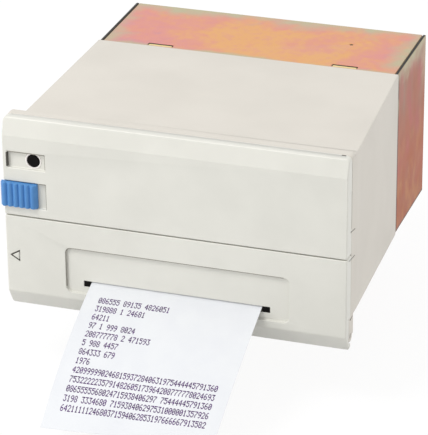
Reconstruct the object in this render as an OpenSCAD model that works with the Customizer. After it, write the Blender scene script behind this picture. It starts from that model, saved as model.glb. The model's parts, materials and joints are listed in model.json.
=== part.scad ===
// Panel-mount dot matrix printer with a hinged front cover that carries the print mechanism.
// X runs to the right, Y towards the rear and Z up. The origin is the middle of the seat strip
// behind the front flange, the face that lies against the panel. All sizes are millimetres.

/* [Front cover] */
// Width of the front cover
front_w = 114.3; // [113:0.1:118]
// Height of the front cover
front_h = 67.2; // [66.6:0.1:70]
// Depth of the front cover from its face to the parting line
cover_d = 4.8; // [4.6:0.1:5.4]
// Wall of the two cover mouldings
cover_wall = 2; // [1.8:0.1:2.2]
// Depth of the bevel along the top edge
top_bevel_d = 1.8; // [1:0.1:2.4]
// Height of the bevel along the top edge
top_bevel_h = 5.8; // [4:0.1:7]
// Depth of the bevel along the bottom edge
bottom_bevel_d = 4.1; // [3.6:0.1:4.3]
// Height of the bevel along the bottom edge
bottom_bevel_h = 6.2; // [5.6:0.1:6.8]
// Radius of the four outer corners seen from the front
corner_r = 1.4; // [0.8:0.1:2]
// Height of the seam between the upper and the lower moulding
seam_z = 33.5; // [33.2:0.1:33.7]
// Open width of that seam
seam_gap = 0.35; // [0.2:0.05:0.5]

/* [Paper window] */
// Width of the shallow window round the paper slot
window_w = 75.2; // [70:0.2:80]
// Height of the window
window_h = 15.9; // [14:0.1:17]
// Lower edge of the window above the bottom of the cover
window_z = 8.7; // [8.2:0.1:9.2]
// Depth of every shallow recess in the face
recess_d = 1; // [0.6:0.1:1.1]
// Width of the paper slot
slot_w = 62.8; // [60:0.2:66]
// Height of the paper slot
slot_h = 2.1; // [2:0.1:2.6]
// Lower edge of the paper slot above the bottom of the cover
slot_z = 10.9; // [10.6:0.1:11]

/* [Controls] */
// Diameter of the round feed button
button_dia = 4.3; // [3.6:0.1:4.6]
// Clearance round the feed button
button_fit = 0.1; // [0.08:0.01:0.2]
// Inward travel of the feed button
button_travel = 0.8; // [0.5:0.1:0.9]
// Height of the feed button above the bottom of the cover
button_z = 53.3; // [53:0.1:53.6]
// Distance of the feed button from the left edge
button_inset = 10.3; // [10.1:0.1:10.4]
// Width of the latch slider
slider_w = 12.4; // [12:0.1:13]
// Height of the latch slider
slider_h = 8.4; // [8:0.1:8.6]
// Height of the middle of the latch slider above the bottom of the cover
slider_z = 41.3; // [41:0.1:41.5]
// Sideways travel of the latch slider
slider_travel = 2.5; // [1.5:0.1:2.6]
// Number of grip ribs on the latch slider
rib_count = 6; // [4:1:7]

/* [Case] */
// Thickness of the front flange
flange_t = 3.2; // [3:0.1:3.4]
// Gap between the cover and the flange
part_gap = 0.2; // [0.1:0.05:0.3]
// Wall of the case moulding
case_wall = 2.2; // [2:0.1:2.4]
// Length of the moulded case behind the flange
case_len = 68.2; // [68:0.2:76]
// Length of the straight neck behind the flange, where the panel sits
neck_l = 3; // [2.2:0.1:6]
// Reach of the flange past the left side of the case
left_overhang = 4.6; // [4.2:0.1:4.8]
// Reach of the flange past the underside of the case
bottom_overhang = 11.2; // [11:0.1:11.6]
// Step between the top of the cover and the roof of the case
top_overhang = 1; // [0.6:0.1:1.6]

/* [Rear box] */
// Width of the metal rear box
metal_w = 104.6; // [104:0.1:106]
// Length of the metal rear box
metal_len = 37.2; // [37:0.2:44]
// Top of the rear box above the bottom of the cover
metal_top = 64.7; // [64:0.1:65]
// Underside of the rear box above the bottom of the cover
metal_bottom = 6.6; // [6.2:0.1:7]
// Thickness of the sheet metal
sheet_t = 1; // [0.8:0.1:1.1]
// Length of the clamp slots in the top and bottom sheets
clamp_slot_l = 8.7; // [7:0.1:10]
// Width of the clamp slots
clamp_slot_w = 1.8; // [1.4:0.1:2]

/* [Hinge] */
// Height of the hinge axis above the bottom of the cover
hinge_z = 4.6; // [4.5:0.05:4.7]
// Diameter of the hinge pins
hinge_pin_dia = 2; // [1.8:0.1:2.1]
// Radius of the two ears on the flange
ear_r = 2; // [1.9:0.05:2.1]
// Radial running clearance of every turning shaft
run_fit = 0.06; // [0.04:0.01:0.09]

/* [Paper] */
// Width of the paper web
paper_w = 57.5; // [56:0.1:58]
// Outer diameter of the paper roll
roll_dia = 45; // [30:0.5:46]
// Outer diameter of the core tube of the roll
core_dia = 13; // [12:0.2:16]
// Length of paper that hangs out of the slot
tongue_l = 61; // [40:1:70]
// Downward slope of the paper at the slot, in degrees
tongue_start = 20; // [15:1:24]
// Downward slope of the paper at its end, in degrees
tongue_end = 39; // [26:1:50]

/* [Mechanism] */
// Clear width between the two side plates of the mechanism
mech_w = 83; // [82.6:0.1:83.6]
// Thickness of the side plates
plate_t = 1; // [0.8:0.1:1.1]
// Diameter of the feed roller
feed_dia = 7.9; // [7.4:0.1:8.2]
// Diameter of the pressure roller
press_dia = 6.8; // [6.2:0.1:7]
// Travel of the print head carriage to each side
head_travel = 26; // [20:0.5:26.5]
// Width of the print head carriage
carriage_w = 16; // [12:0.2:16.4]
// Diameter of the guide shaft and of the lead screw
guide_dia = 3; // [2.6:0.1:3.2]
// Diameter of the paper feed motor
motor_dia = 11; // [9:0.2:11.6]
// Length of the paper feed motor
motor_l = 30; // [22:0.5:34]

/* [Gears] */
// Module of the paper feed gears
gear_mod = 0.5; // [0.5:0.01:0.52]
// Teeth of the motor pinion
pinion_n = 14; // [13:1:15]
// Teeth of the idler gear
idler_n = 36; // [35:1:38]
// Teeth of the feed gear
feed_n = 24; // [23:1:26]
// Width of the gears
gear_w = 3; // [2:0.1:3.4]
// Thinning of each gear tooth at the pitch circle
tooth_play = 0.1; // [0.06:0.01:0.16]

/* [Electronics] */
// Width of the control board
board_w = 92; // [84:1:96]
// Depth of the control board
board_l = 30; // [28:0.5:31]
// Thickness of the control board
board_t = 1.6; // [1.2:0.1:2]
// Height of the board's standoffs
standoff_h = 4.4; // [3.6:0.1:5]

/* [Hidden] */
$fn = 48;
eps = 0.02;

// Places worked out from the driving sizes, with z counted from the bottom of the cover
half_w = front_w / 2;
flange_front = -flange_t;
cover_back = flange_front - part_gap;
face_y = cover_back - cover_d;
inner_y = face_y + cover_wall;
recess_y = face_y + recess_d;
hinge_y = flange_front;
case_left = -half_w + left_overhang;
case_top = front_h - top_overhang;
metal_half = metal_w / 2;
flush = 0.3;
rail_z = hinge_z + 0.3;
seat_z = (rail_z + bottom_overhang) / 2;
rear_y = case_len + metal_len;
ear_w = left_overhang;
ear_top = bottom_overhang;
knuckle_r = 2;
knuckle_w = 6.3;
ear_gap = 0.25;
pin_r = hinge_pin_dia / 2;

// Paper path: the web leaves the roll, bends over the feed roller, drops past the print head
// and slides down the chute to the slot
paper_cx = 0.3;
paper_t = 0.1;
web_gap = 0.1;
feed_r = feed_dia / 2;
press_r = press_dia / 2;
feed_at = [12, 47];
roll_r = roll_dia / 2;
roll_gap = 2;
bulk_y = case_len + 0.3;
roll_at = [bulk_y - roll_gap - roll_r, 36.5];
paper_y = feed_at[0] - feed_r - web_gap;
press_at = [paper_y - web_gap - press_r, feed_at[1]];
exit_at = [recess_y, slot_z + 1.4];
chute_low = exit_at + [3, 1.9];
chute_high = chute_low + [9.2, 7.2];
chute_turn = [paper_y, chute_high[1] + (paper_y - chute_high[0]) * 7.2 / 9.2];
drop_end = [paper_y, chute_turn[1] + 3.6];
web_span = roll_at - feed_at;
web_lift = atan2(web_span[1], web_span[0])
    + acos((feed_r - roll_r) / norm(web_span));
web_normal = [cos(web_lift), sin(web_lift)];
tongue_r = tongue_l / ((tongue_end - tongue_start) * PI / 180);

// Mechanism places
mech_left = paper_cx - mech_w / 2;
mech_right = paper_cx + mech_w / 2;
mech_front = inner_y + 1.7;
mech_rear = 17;
mech_foot = 14.5;
mech_top = feed_at[1] + 7;
tab_t = 0.8;
tab_w = 4;
tab_holes = [17.5, seam_z + 2.4];
guide_r = guide_dia / 2;
guide_at = [-1.2, 34.6];
screw_at = [-1.2, 28.6];
platen_front = paper_y + 0.25;
platen_z = [27.5, 38];
motor_at = [14, 20];
gear_x = mech_right + plate_t + 0.5;
tie_at = [[3.3, 52.2], [12.6, 40.2], [4.5, 16.2]];
tie_r = 1.5;
head_reach = [2, paper_y - 1.05];
arm_x = carriage_w / 2 + head_travel + 1.4;
arm_w = 1.8;
cassette_z = [38.9, 42.9];
ribbon_y = paper_y - 0.65;
ribbon_t = 0.12;
knob_at = [paper_cx + 30, -1.9];

// Gear train in the plane of the right side plate
centre_play = 0.08;
pitch_pinion = gear_mod * pinion_n / 2;
pitch_idler = gear_mod * idler_n / 2;
pitch_feed = gear_mod * feed_n / 2;
reach_a = pitch_pinion + pitch_idler + centre_play;
reach_b = pitch_idler + pitch_feed + centre_play;
train = feed_at - motor_at;
train_l = norm(train);
along_a = (reach_a * reach_a - reach_b * reach_b + train_l * train_l) / (2 * train_l);
aside_a = sqrt(reach_a * reach_a - along_a * along_a);
train_u = train / train_l;
idler_at = motor_at + along_a * train_u + aside_a * [-train_u[1], train_u[0]];

// Controls
button_x = -half_w + button_inset;
button_r = button_dia / 2;
slider_left = -half_w - 0.85;
slider_right = slider_left + slider_w;
slider_floor = recess_y - 0.15;
slider_proud = 1.5;
stem_x = [slider_left + 4, slider_left + 8];
stem_h = 3.2;
hook_x = [slider_left + 9.1, slider_left + 10.1];
hook_h = 5;
spring_x = [hook_x[1] + 0.1, hook_x[1] + slider_travel + 1.9];
catch_y = [1, 3];
hook_end = catch_y[1] + 1.8;
hook_room = [slider_z - hook_h / 2 - 0.5, slider_z + hook_h / 2 + 0.5];
switch_y = [-3.2, -0.6];
board_back = switch_y[1] + 1.2;
button_recess = [-half_w + 1.6, -half_w + 14.5];

// Electronics
board_y = bulk_y + sheet_t + 2;
board_z = metal_bottom + sheet_t + standoff_h;
board_top = board_z + board_t;
port_x = -6;
port_z = board_top + 6.4;
power_x = 28;
jack_bore_r = 1.2;

// Colours
white_c = [0.86, 0.855, 0.825];
zinc_c = [0.83, 0.6, 0.5];
steel_c = [0.7, 0.71, 0.73];
dark_c = [0.14, 0.14, 0.15];
blue_c = [0.27, 0.51, 0.76];
paper_c = [0.94, 0.95, 0.97];
brass_c = [0.8, 0.66, 0.35];
gear_c = [0.9, 0.89, 0.83];
board_c = [0.12, 0.38, 0.22];

function lerp(a, b, t) = a + (b - a) * t;

// Sides of the case at a depth: straight along the neck, then sloping towards the rear box
function slope_at(y) = max(0, y - neck_l) / (case_len - neck_l);
function left_at(y) = lerp(case_left, -metal_half - flush, slope_at(y));
function right_at(y) = lerp(half_w, metal_half + flush, slope_at(y));
function roof_at(y) = lerp(case_top, metal_top + flush, slope_at(y));
function base_at(y) = lerp(bottom_overhang, metal_bottom - flush, slope_at(y));
function floor_at(y) = base_at(y) + case_wall;

// Inner line of the bottom bevel, at the wall thickness inside the outer one
function lip_z(y) = (cover_wall * norm([bottom_bevel_d, bottom_bevel_h])
    - (y - face_y - bottom_bevel_d) * bottom_bevel_h) / bottom_bevel_d;

// Inner line of the top bevel
function brow_z(y) = front_h - top_bevel_h + ((y - face_y) * top_bevel_h
    - cover_wall * norm([top_bevel_d, top_bevel_h])) / top_bevel_d;
function brow_y(z) = face_y + (cover_wall * norm([top_bevel_d, top_bevel_h])
    + (z - front_h + top_bevel_h) * top_bevel_d) / top_bevel_h;

function bend(a, b, c, n) = [for (i = [0:n]) let (t = i / n)
    (1 - t) * (1 - t) * a + 2 * t * (1 - t) * b + t * t * c];
function tongue(n) = [for (i = [1:n]) let (a = lerp(tongue_start, tongue_end, i / n))
    exit_at - tongue_r * [sin(a) - sin(tongue_start), cos(tongue_start) - cos(a)]];
function over_roller(r, a0, a1, n) = [for (i = [0:n])
    feed_at + r * [cos(lerp(a0, a1, i / n)), sin(lerp(a0, a1, i / n))]];

// Centre line of the paper from the feed roller to its free end
strip_line = concat(
    over_roller(feed_r + web_gap, web_lift, 180, 8),
    bend(drop_end, chute_turn, chute_high, 6),
    bend(chute_low, exit_at + [1.06, 0.39], exit_at, 4),
    tongue(14));
chute_line = concat(bend(drop_end, chute_turn, chute_high, 6),
    [chute_low, chute_low + (exit_at + [1.06, 0.39] - chute_low) * 0.5]);

function unit(v) = v / norm(v);
function heading(p, i) = unit(p[min(i + 1, len(p) - 1)] - p[max(i - 1, 0)]);
function aside(p, i, d) = p[i] + d * [-heading(p, i)[1], heading(p, i)[0]];
function ribbon_of(p, d0, d1) = concat([for (i = [0:len(p) - 1]) aside(p, i, d0)],
    [for (i = [len(p) - 1:-1:0]) aside(p, i, d1)]);

// Involute gear outline, tooth 0 centred on the given turn
pressure = 20;
function inv(a) = tan(a) * 180 / PI - a;
function flank(n, r) = let (rb = gear_mod * n / 2 * cos(pressure))
    90 / n - tooth_play / (gear_mod * n) * 180 / PI + inv(pressure)
    - inv(acos(min(1, rb / r)));
function tooth(n, turn) = let (
    pitch = gear_mod * n / 2, rb = pitch * cos(pressure), tip = pitch + 0.8 * gear_mod,
    root = pitch - 1.1 * gear_mod, low = max(rb, root), steps = 4,
    up = [for (i = [0:steps]) let (r = lerp(low, tip, i / steps)) [r, -flank(n, r)]],
    down = [for (i = [steps:-1:0]) let (r = lerp(low, tip, i / steps)) [r, flank(n, r)]])
    [for (q = concat([[root, -flank(n, low)]], up, down, [[root, flank(n, low)]]))
    q[0] * [cos(turn + q[1]), sin(turn + q[1])]];
function mesh_turn(at_a, n_a, turn_a, at_b, n_b) = let (
    dir = atan2(at_b[1] - at_a[1], at_b[0] - at_a[0]), share = (dir - turn_a) * n_a / 360)
    dir + 180 - (0.5 - share) * 360 / n_b;
idler_turn = 0;
feed_turn = mesh_turn(idler_at, idler_n, idler_turn, feed_at, feed_n);
pinion_turn = mesh_turn(idler_at, idler_n, idler_turn, motor_at, pinion_n);

// Shapes used again and again
module block(a, b) translate(a) cube(b - a);
module along_x(x0, x1) translate([x0, 0, 0]) rotate([90, 0, 90]) linear_extrude(x1 - x0) children();
module rod_x(r, x0, x1, at) translate([x0, at[0], at[1]]) rotate([0, 90, 0]) cylinder(r = r, h = x1 - x0);
module rod_y(r, y0, y1, x, z) translate([x, y0, z]) rotate([-90, 0, 0]) cylinder(r = r, h = y1 - y0);
module rod_z(r, z0, z1, x, y) translate([x, y, z0]) cylinder(r = r, h = z1 - z0);
module tube_x(r1, r0, x0, x1, at) difference() {
    rod_x(r1, x0, x1, at);
    rod_x(r0, x0 - 1, x1 + 1, at);
}

// Block seen from the front with round corners
module round_block(a, b, r) {
    block([a[0] + r, a[1], a[2]], [b[0] - r, b[1], b[2]]);
    block([a[0], a[1], a[2] + r], [b[0], b[1], b[2] - r]);
    for (x = [a[0] + r, b[0] - r], z = [a[2] + r, b[2] - r]) rod_y(r, a[1], b[1], x, z);
}

module gear_x(n, turn, x, at, bore) along_x(x, x + gear_w) translate(at) difference() {
    polygon([for (k = [0:n - 1]) each tooth(n, turn + k * 360 / n)]);
    circle(r = bore);
}

// Pan head screw pointing towards the front, head behind its seat at y
module screw_front(x, y, z, l, r = 0.75) {
    rod_y(r, y - l, y + eps, x, z);
    rod_y(r * 2.2, y, y + r, x, z);
}

// Body of the case between two depths, drawn in by inset on its four sides
module case_block(inset, y0, y1) {
    there = y0 < neck_l ? [y0, neck_l, y1] : [y0, y1];
    back = [for (i = [len(there) - 1:-1:0]) there[i]];
    intersection() {
        linear_extrude(front_h + 20) polygon(concat([for (y = there) [left_at(y) + inset, y]],
            [for (y = back) [right_at(y) - inset, y]]));
        along_x(-front_w, front_w) polygon(concat([for (y = there) [y, base_at(y) + inset]],
            [for (y = back) [y, roof_at(y) - inset]]));
    }
}

// Fine marks in the right side of the cover and of the flange
module side_mark(y0, z0, y1, z1, deep = 0.45) translate([half_w - deep, y0, z0])
    rotate([atan2(z1 - z0, y1 - y0), 0, 0]) cube([deep + 1, norm([y1 - y0, z1 - z0]), 0.3]);

module side_marks() {
    side_mark(cover_back - 1.1, seam_z + 7.9, 1, seam_z + 6.9);
    side_mark(face_y + 2.2, seam_z - 1.4, 0.9, seam_z - 2.3);
    block([half_w - 0.6, cover_back - 0.25, seam_z + 8.9], [half_w + 1, cover_back + 0.3, seam_z + 21.6]);
}

boss_x = metal_half - 4.5;
boss_z = [metal_bottom + 4.4, metal_top - 4.2];
foot_y = [roll_at[0] - 9, roll_at[0] + 9];
bracket_x = paper_w / 2 + 1.9;
bracket_t = 2;
foot_w = 7;

module case_shell() color(white_c) difference() {
    union() {
        difference() {
            union() {
                case_block(0, 0, case_len);
                intersection() {
                    round_block([-half_w, flange_front, 0], [half_w, 0, front_h], corner_r);
                    block([-half_w, flange_front, rail_z], [half_w, 0, front_h]);
                }
            }
            case_block(case_wall, flange_front - 1, case_len + 1);
            block([-slot_w / 2 - 4, flange_front - 1, bottom_overhang + 1],
                [slot_w / 2 + 4.6, 0, bottom_overhang + case_wall + 2]);
        }
        for (s = [-1, 1]) hinge_ear(s);
        for (s = [-1, 1], z = boss_z) intersection() {
            rod_y(3.2, case_len - 9, case_len, s * boss_x, z);
            case_block(0.5, 0, case_len);
        }
        block([left_at(0) + 0.5, catch_y[0], slider_z - 2.7],
            [hook_x[0] - 0.5, catch_y[1], slider_z + 2.7]);
    }
    for (s = [-1, 1]) {
        rod_x(pin_r + 0.02, s * half_w - ear_w - 1, s * half_w + ear_w + 1, [hinge_y, hinge_z]);
        rod_x(knuckle_r + 0.4, min(s * (half_w - ear_w - knuckle_w - 0.6), s * (half_w - ear_w)),
            max(s * (half_w - ear_w - knuckle_w - 0.6), s * (half_w - ear_w)), [hinge_y, hinge_z]);
        for (z = boss_z) rod_y(0.85, case_len - 7, case_len + 1, s * boss_x, z);
        for (y = [foot_y[0] + 3, foot_y[1] - 3])
            rod_z(0.75, floor_at(y) - 1.4, floor_at(y) + 1, paper_cx + s * (bracket_x + bracket_t + 4), y);
    }
    side_marks();
}

module hinge_ear(s) intersection() {
    union() {
        rod_x(ear_r, s > 0 ? half_w - ear_w : -half_w, s > 0 ? half_w : -half_w + ear_w,
            [hinge_y, hinge_z]);
        block([s > 0 ? half_w - ear_w : -half_w, hinge_y - ear_r, hinge_z],
            [s > 0 ? half_w : -half_w + ear_w, 0, ear_top]);
    }
    block([-half_w, hinge_y - ear_r, 0], [half_w, 0, ear_top]);
}

module hinge_pins() color(steel_c) for (s = [-1, 1])
    rod_x(pin_r, s > 0 ? half_w - ear_w - knuckle_w + 0.3 : -half_w + 0.4,
        s > 0 ? half_w - 0.4 : -half_w + ear_w + knuckle_w - 0.3, [hinge_y, hinge_z]);

// Cover body before it is split at the seam
module cover_solid() intersection() {
    along_x(-half_w, half_w) polygon([[cover_back, 0], [face_y + bottom_bevel_d, 0],
        [face_y, bottom_bevel_h], [face_y, front_h - top_bevel_h],
        [face_y + top_bevel_d, front_h], [cover_back, front_h]]);
    round_block([-half_w, face_y, 0], [half_w, cover_back, front_h], corner_r);
}

module cover_hollow() along_x(-half_w + cover_wall, half_w - cover_wall) polygon([
    [cover_back + 1, lip_z(cover_back + 1)], [inner_y, lip_z(inner_y)],
    [inner_y, brow_z(inner_y)], [brow_y(front_h - cover_wall), front_h - cover_wall],
    [cover_back + 1, front_h - cover_wall]]);

tab_x = [mech_left + 1.7, mech_right - 1.7];
strip_w = 34;
strip_z = [seam_z - 4, seam_z + 4];
strip_t = 0.8;
board_bosses = [button_z - 5.3, button_z + 4.9];

module upper_cover() color(white_c) difference() {
    union() {
        intersection() {
            difference() {
                cover_solid();
                cover_hollow();
            }
            block([-front_w, face_y - 1, seam_z + seam_gap / 2], [front_w, 0, front_h + 1]);
        }
        for (x = tab_x) rod_y(1.8, inner_y - 0.5, mech_front, x, tab_holes[1]);
        for (z = board_bosses) rod_y(1.4, inner_y - 0.5, switch_y[1], button_x, z);
        block([spring_x[1], inner_y - 0.5, slider_z - 1.6], [spring_x[1] + 0.9, -3.9, slider_z + 1.6]);
    }
    for (x = tab_x) rod_y(0.8, inner_y - 0.4, mech_front + 1, x, tab_holes[1]);
    for (z = board_bosses) rod_y(0.8, -4.4, 0, button_x, z);
    for (x = [-strip_w + 4, 0, strip_w - 4]) rod_y(0.8, inner_y - 1.1, inner_y + 1, x, strip_z[1] - 1.7);
    block([button_recess[0], face_y - 1, button_z - 2.9], [button_recess[1], recess_y, button_z + 2.7]);
    rod_y(button_r + button_fit, face_y - 1, inner_y + 1, button_x, button_z);
    block([-half_w - 1, face_y - 1, slider_z - slider_h / 2 - 0.2],
        [slider_right + slider_travel + 0.5, recess_y, slider_z + slider_h / 2 + 0.2]);
    block([stem_x[0] - 0.2, face_y - 1, slider_z - stem_h / 2 - 0.2],
        [stem_x[1] + slider_travel + 0.2, inner_y + 1, slider_z + stem_h / 2 + 0.2]);
    block([half_w - 3.4, cover_back - 0.7, front_h - 0.8], [half_w - 1.9, cover_back + 1, front_h + 1]);
    side_marks();
}

module lower_cover() color(white_c) difference() {
    union() {
        difference() {
            intersection() {
                cover_solid();
                block([-front_w, face_y - 1, -1], [front_w, 0, seam_z - seam_gap / 2]);
            }
            cover_hollow();
            for (s = [-1, 1]) ear_room(s);
        }
        for (s = [-1, 1]) intersection() {
            union() {
                rod_x(knuckle_r, min(s * (half_w - ear_w - ear_gap), s * (half_w - ear_w - knuckle_w)),
                    max(s * (half_w - ear_w - ear_gap), s * (half_w - ear_w - knuckle_w)),
                    [hinge_y, hinge_z]);
                block([min(s * (half_w - ear_w - ear_gap), s * (half_w - ear_w - knuckle_w)),
                    inner_y - 0.5, hinge_z - 1.2],
                    [max(s * (half_w - ear_w - ear_gap), s * (half_w - ear_w - knuckle_w)),
                    hinge_y, hinge_z + 1.9]);
            }
            along_x(-half_w, half_w) polygon([[face_y + bottom_bevel_d, 0], [face_y, bottom_bevel_h],
                [face_y, 20], [2, 20], [2, 0]]);
        }
        for (x = tab_x) rod_y(1.8, inner_y - 0.5, mech_front, x, tab_holes[0]);
    }
    for (x = tab_x) rod_y(0.8, inner_y - 0.4, mech_front + 1, x, tab_holes[0]);
    for (x = [-strip_w + 4, 0, strip_w - 4]) rod_y(0.8, inner_y - 1.1, inner_y + 1, x, strip_z[0] + 1.7);
    rod_x(pin_r + run_fit, -half_w - 1, half_w + 1, [hinge_y, hinge_z]);
    round_block([paper_cx + 0.5 - window_w / 2, face_y - 1, window_z],
        [paper_cx + 0.5 + window_w / 2, recess_y, window_z + window_h], 2);
    block([paper_cx + 0.1 - slot_w / 2, face_y - 1, slot_z],
        [paper_cx + 0.1 + slot_w / 2, inner_y + 1.2, slot_z + slot_h]);
    arrow();
    side_marks();
}

// Room for a flange ear inside the lower moulding
module ear_room(s) {
    rod_x(ear_r + 0.4, min(s * (half_w - ear_w - ear_gap), s * (half_w + 1)),
        max(s * (half_w - ear_w - ear_gap), s * (half_w + 1)), [hinge_y, hinge_z]);
    block([min(s * (half_w - ear_w - ear_gap), s * (half_w + 1)), hinge_y - ear_r - 0.3, hinge_z],
        [max(s * (half_w - ear_w - ear_gap), s * (half_w + 1)), 0, ear_top + 0.5]);
}

// Engraved outline of an arrow head that points to the left
arrow_tip = [-half_w + 1.15, 19.3];
arrow_l = 3.5;
arrow_h = 4.2;
module arrow() translate([arrow_tip[0], face_y + 0.35, arrow_tip[1]]) rotate([90, 0, 0])
    linear_extrude(2) difference() {
        polygon([[0, 0], [arrow_l, -arrow_h / 2], [arrow_l, arrow_h / 2]]);
        polygon([[0.9, 0], [arrow_l - 0.35, 0.75 - arrow_h / 2], [arrow_l - 0.35, arrow_h / 2 - 0.75]]);
    }

module joining_plate() color(steel_c) difference() {
    block([-strip_w, inner_y, strip_z[0]], [strip_w, inner_y + strip_t, strip_z[1]]);
    for (x = [-strip_w + 4, 0, strip_w - 4], z = [strip_z[0] + 1.7, strip_z[1] - 1.7])
        rod_y(0.8, inner_y - 1, inner_y + 2, x, z);
}

module cover_screws() color(steel_c) {
    for (x = [-strip_w + 4, 0, strip_w - 4], z = [strip_z[0] + 1.7, strip_z[1] - 1.7])
        screw_front(x, inner_y + strip_t, z, 1.8, 0.7);
    for (x = tab_x, z = tab_holes) screw_front(x, mech_front + tab_t, z, 2.3);
    for (z = board_bosses) screw_front(button_x, board_back, z, 4);
}

module panel_board() color(board_c) difference() {
    block([button_x - 2.8, switch_y[1], button_z - 6.9], [button_x + 3.2, board_back, button_z + 6.4]);
    for (z = board_bosses) rod_y(0.8, switch_y[1] - 1, 2, button_x, z);
}

module feed_switch() color(dark_c) {
    block([button_x - 2.4, switch_y[0] + 0.6, button_z - 2.4],
        [button_x + 2.4, switch_y[1], button_z + 2.4]);
    rod_y(1.3, switch_y[0], switch_y[0] + 0.7, button_x, button_z);
}

// Print mechanism frame. The front edge of each side plate clears the latch hook and the button board
module mech_side(x, inward) difference() {
    union() {
        along_x(x, x + plate_t) polygon([[mech_front, mech_foot], [motor_at[0] + 6, mech_foot],
            [motor_at[0] + 6, motor_at[1] + 5.5], [mech_rear, motor_at[1] + 9.5],
            [mech_rear, mech_top], [board_back + 1, mech_top], [board_back + 1, hook_room[1]],
            [hook_end + 0.4, hook_room[1]], [hook_end + 0.4, hook_room[0]], [mech_front, hook_room[0]]]);
        for (z = tab_holes) block([inward > 0 ? x : x + plate_t - tab_w - 1, mech_front, z - 2.2],
            [inward > 0 ? x + tab_w + 1 : x + plate_t, mech_front + tab_t, z + 2.2]);
    }
    rod_x(feed_shaft_r + 1.02, x - 1, x + 2, feed_at);
    rod_x(press_shaft_r + run_fit, x - 1, x + 2, press_at);
    rod_x(guide_r + 0.02, x - 1, x + 2, guide_at);
    rod_x(guide_r + run_fit, x - 1, x + 2, screw_at);
    for (x1 = tab_x, z = tab_holes) rod_y(0.85, mech_front - 1, mech_front + tab_t + 1, x1, z);
}

feed_shaft_r = 1.5;
press_shaft_r = 1.2;
motor_shaft_r = 1;

module mech_side_left() color(steel_c) mech_side(mech_left - plate_t, 1);
module mech_side_right() color(steel_c) difference() {
    mech_side(mech_right, -1);
    rod_x(motor_shaft_r + 0.6, mech_right - 1, mech_right + 2, motor_at);
}

module tie_rods() color(steel_c) for (at = tie_at) rod_x(tie_r, mech_left, mech_right, at);

module roller_bushes() color(brass_c)
    for (x = [mech_left - plate_t, mech_right])
        tube_x(feed_shaft_r + 1, feed_shaft_r + run_fit, x, x + plate_t, feed_at);

module platen() color(dark_c) block([mech_left, platen_front, platen_z[0]],
    [mech_right, platen_front + 2.8, platen_z[1]]);

module guide_shaft() color(steel_c)
    rod_x(guide_r, mech_left - plate_t - 0.6, mech_right + plate_t + 0.2, guide_at);

chute_gap = 1;
chute_t = 0.8;
chute_half = slot_w / 2 + 1.4;

// Guide plate beside the paper path: narrow at the slot, as wide as the frame behind it
module chute_plate(d0, d1) intersection() {
    along_x(mech_left, mech_right) polygon(ribbon_of(chute_line, d0, d1));
    union() {
        block([paper_cx - chute_half, inner_y + 0.3, 0], [paper_cx + chute_half, 20, drop_end[1] - 0.5]);
        block([mech_left, 0.4, 0], [mech_right, 20, drop_end[1] - 0.5]);
    }
}
module chute_upper() color(steel_c) intersection() {
    chute_plate(-chute_gap - chute_t, -chute_gap);
    block([-front_w, -20, 0], [front_w, chute_high[0] - 0.5, 60]);
}
module chute_lower() color(steel_c) chute_plate(chute_gap, chute_gap + chute_t);

module feed_motor() color(steel_c) difference() {
    union() {
        rod_x(motor_dia / 2, mech_right - motor_l, mech_right, motor_at);
        rod_x(motor_dia / 4, mech_right - motor_l - 1.2, mech_right, motor_at);
    }
    rod_x(motor_shaft_r + run_fit, mech_right - 6, mech_right + 1, motor_at);
}

// The head motor fills two thirds of the room beside the left side plate
head_motor_l = 0.65 * (mech_left - plate_t - left_at(0) - case_wall);
module head_motor() color(steel_c) difference() {
    rod_x(4, mech_left - plate_t - head_motor_l, mech_left - plate_t, screw_at);
    rod_x(guide_r + run_fit, mech_left - plate_t - 0.75 * head_motor_l, mech_left, screw_at);
}

module idler_stud() color(steel_c) {
    rod_x(1.5, mech_right + plate_t, gear_x + gear_w + 0.3, idler_at);
    rod_x(2.4, gear_x + gear_w + 0.3, gear_x + gear_w + 0.8, idler_at);
}

module ribbon_cassette() color(dark_c) difference() {
    union() {
        block([paper_cx - arm_x - arm_w, mech_front + 0.7, cassette_z[0]],
            [paper_cx + arm_x + arm_w, ribbon_y - 1.1, cassette_z[1]]);
        for (s = [-1, 1]) block([paper_cx + s * (arm_x + arm_w / 2) - arm_w / 2, ribbon_y - 2.2, 29.6],
            [paper_cx + s * (arm_x + arm_w / 2) + arm_w / 2, ribbon_y + 0.5, cassette_z[0] + 0.1]);
    }
    for (s = [-1, 1]) block([paper_cx + s * (arm_x + arm_w / 2) - arm_w, ribbon_y - 0.2, 30.1],
        [paper_cx + s * (arm_x + arm_w / 2) + arm_w, ribbon_y + 0.2, 36.7]);
    rod_z(1 + run_fit, cassette_z[1] - 3, cassette_z[1] + 1, knob_at[0], knob_at[1]);
}

module ribbon() color([0.25, 0.12, 0.35])
    block([paper_cx - arm_x - arm_w + 0.2, ribbon_y - ribbon_t / 2, 30.4],
        [paper_cx + arm_x + arm_w - 0.2, ribbon_y + ribbon_t / 2, 36.4]);

module ribbon_knob() color(blue_c) difference() {
    union() {
        rod_z(2, cassette_z[1] + 0.25, cassette_z[1] + 2.2, knob_at[0], knob_at[1]);
        rod_z(1, cassette_z[1] - 2.7, cassette_z[1] + 0.3, knob_at[0], knob_at[1]);
    }
    block([knob_at[0] - 3, knob_at[1] - 0.3, cassette_z[1] + 1.6],
        [knob_at[0] + 3, knob_at[1] + 0.3, cassette_z[1] + 3]);
}

module paper_strip() color(paper_c) along_x(paper_cx - paper_w / 2, paper_cx + paper_w / 2)
    polygon(ribbon_of(strip_line, -paper_t / 2, paper_t / 2));

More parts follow.
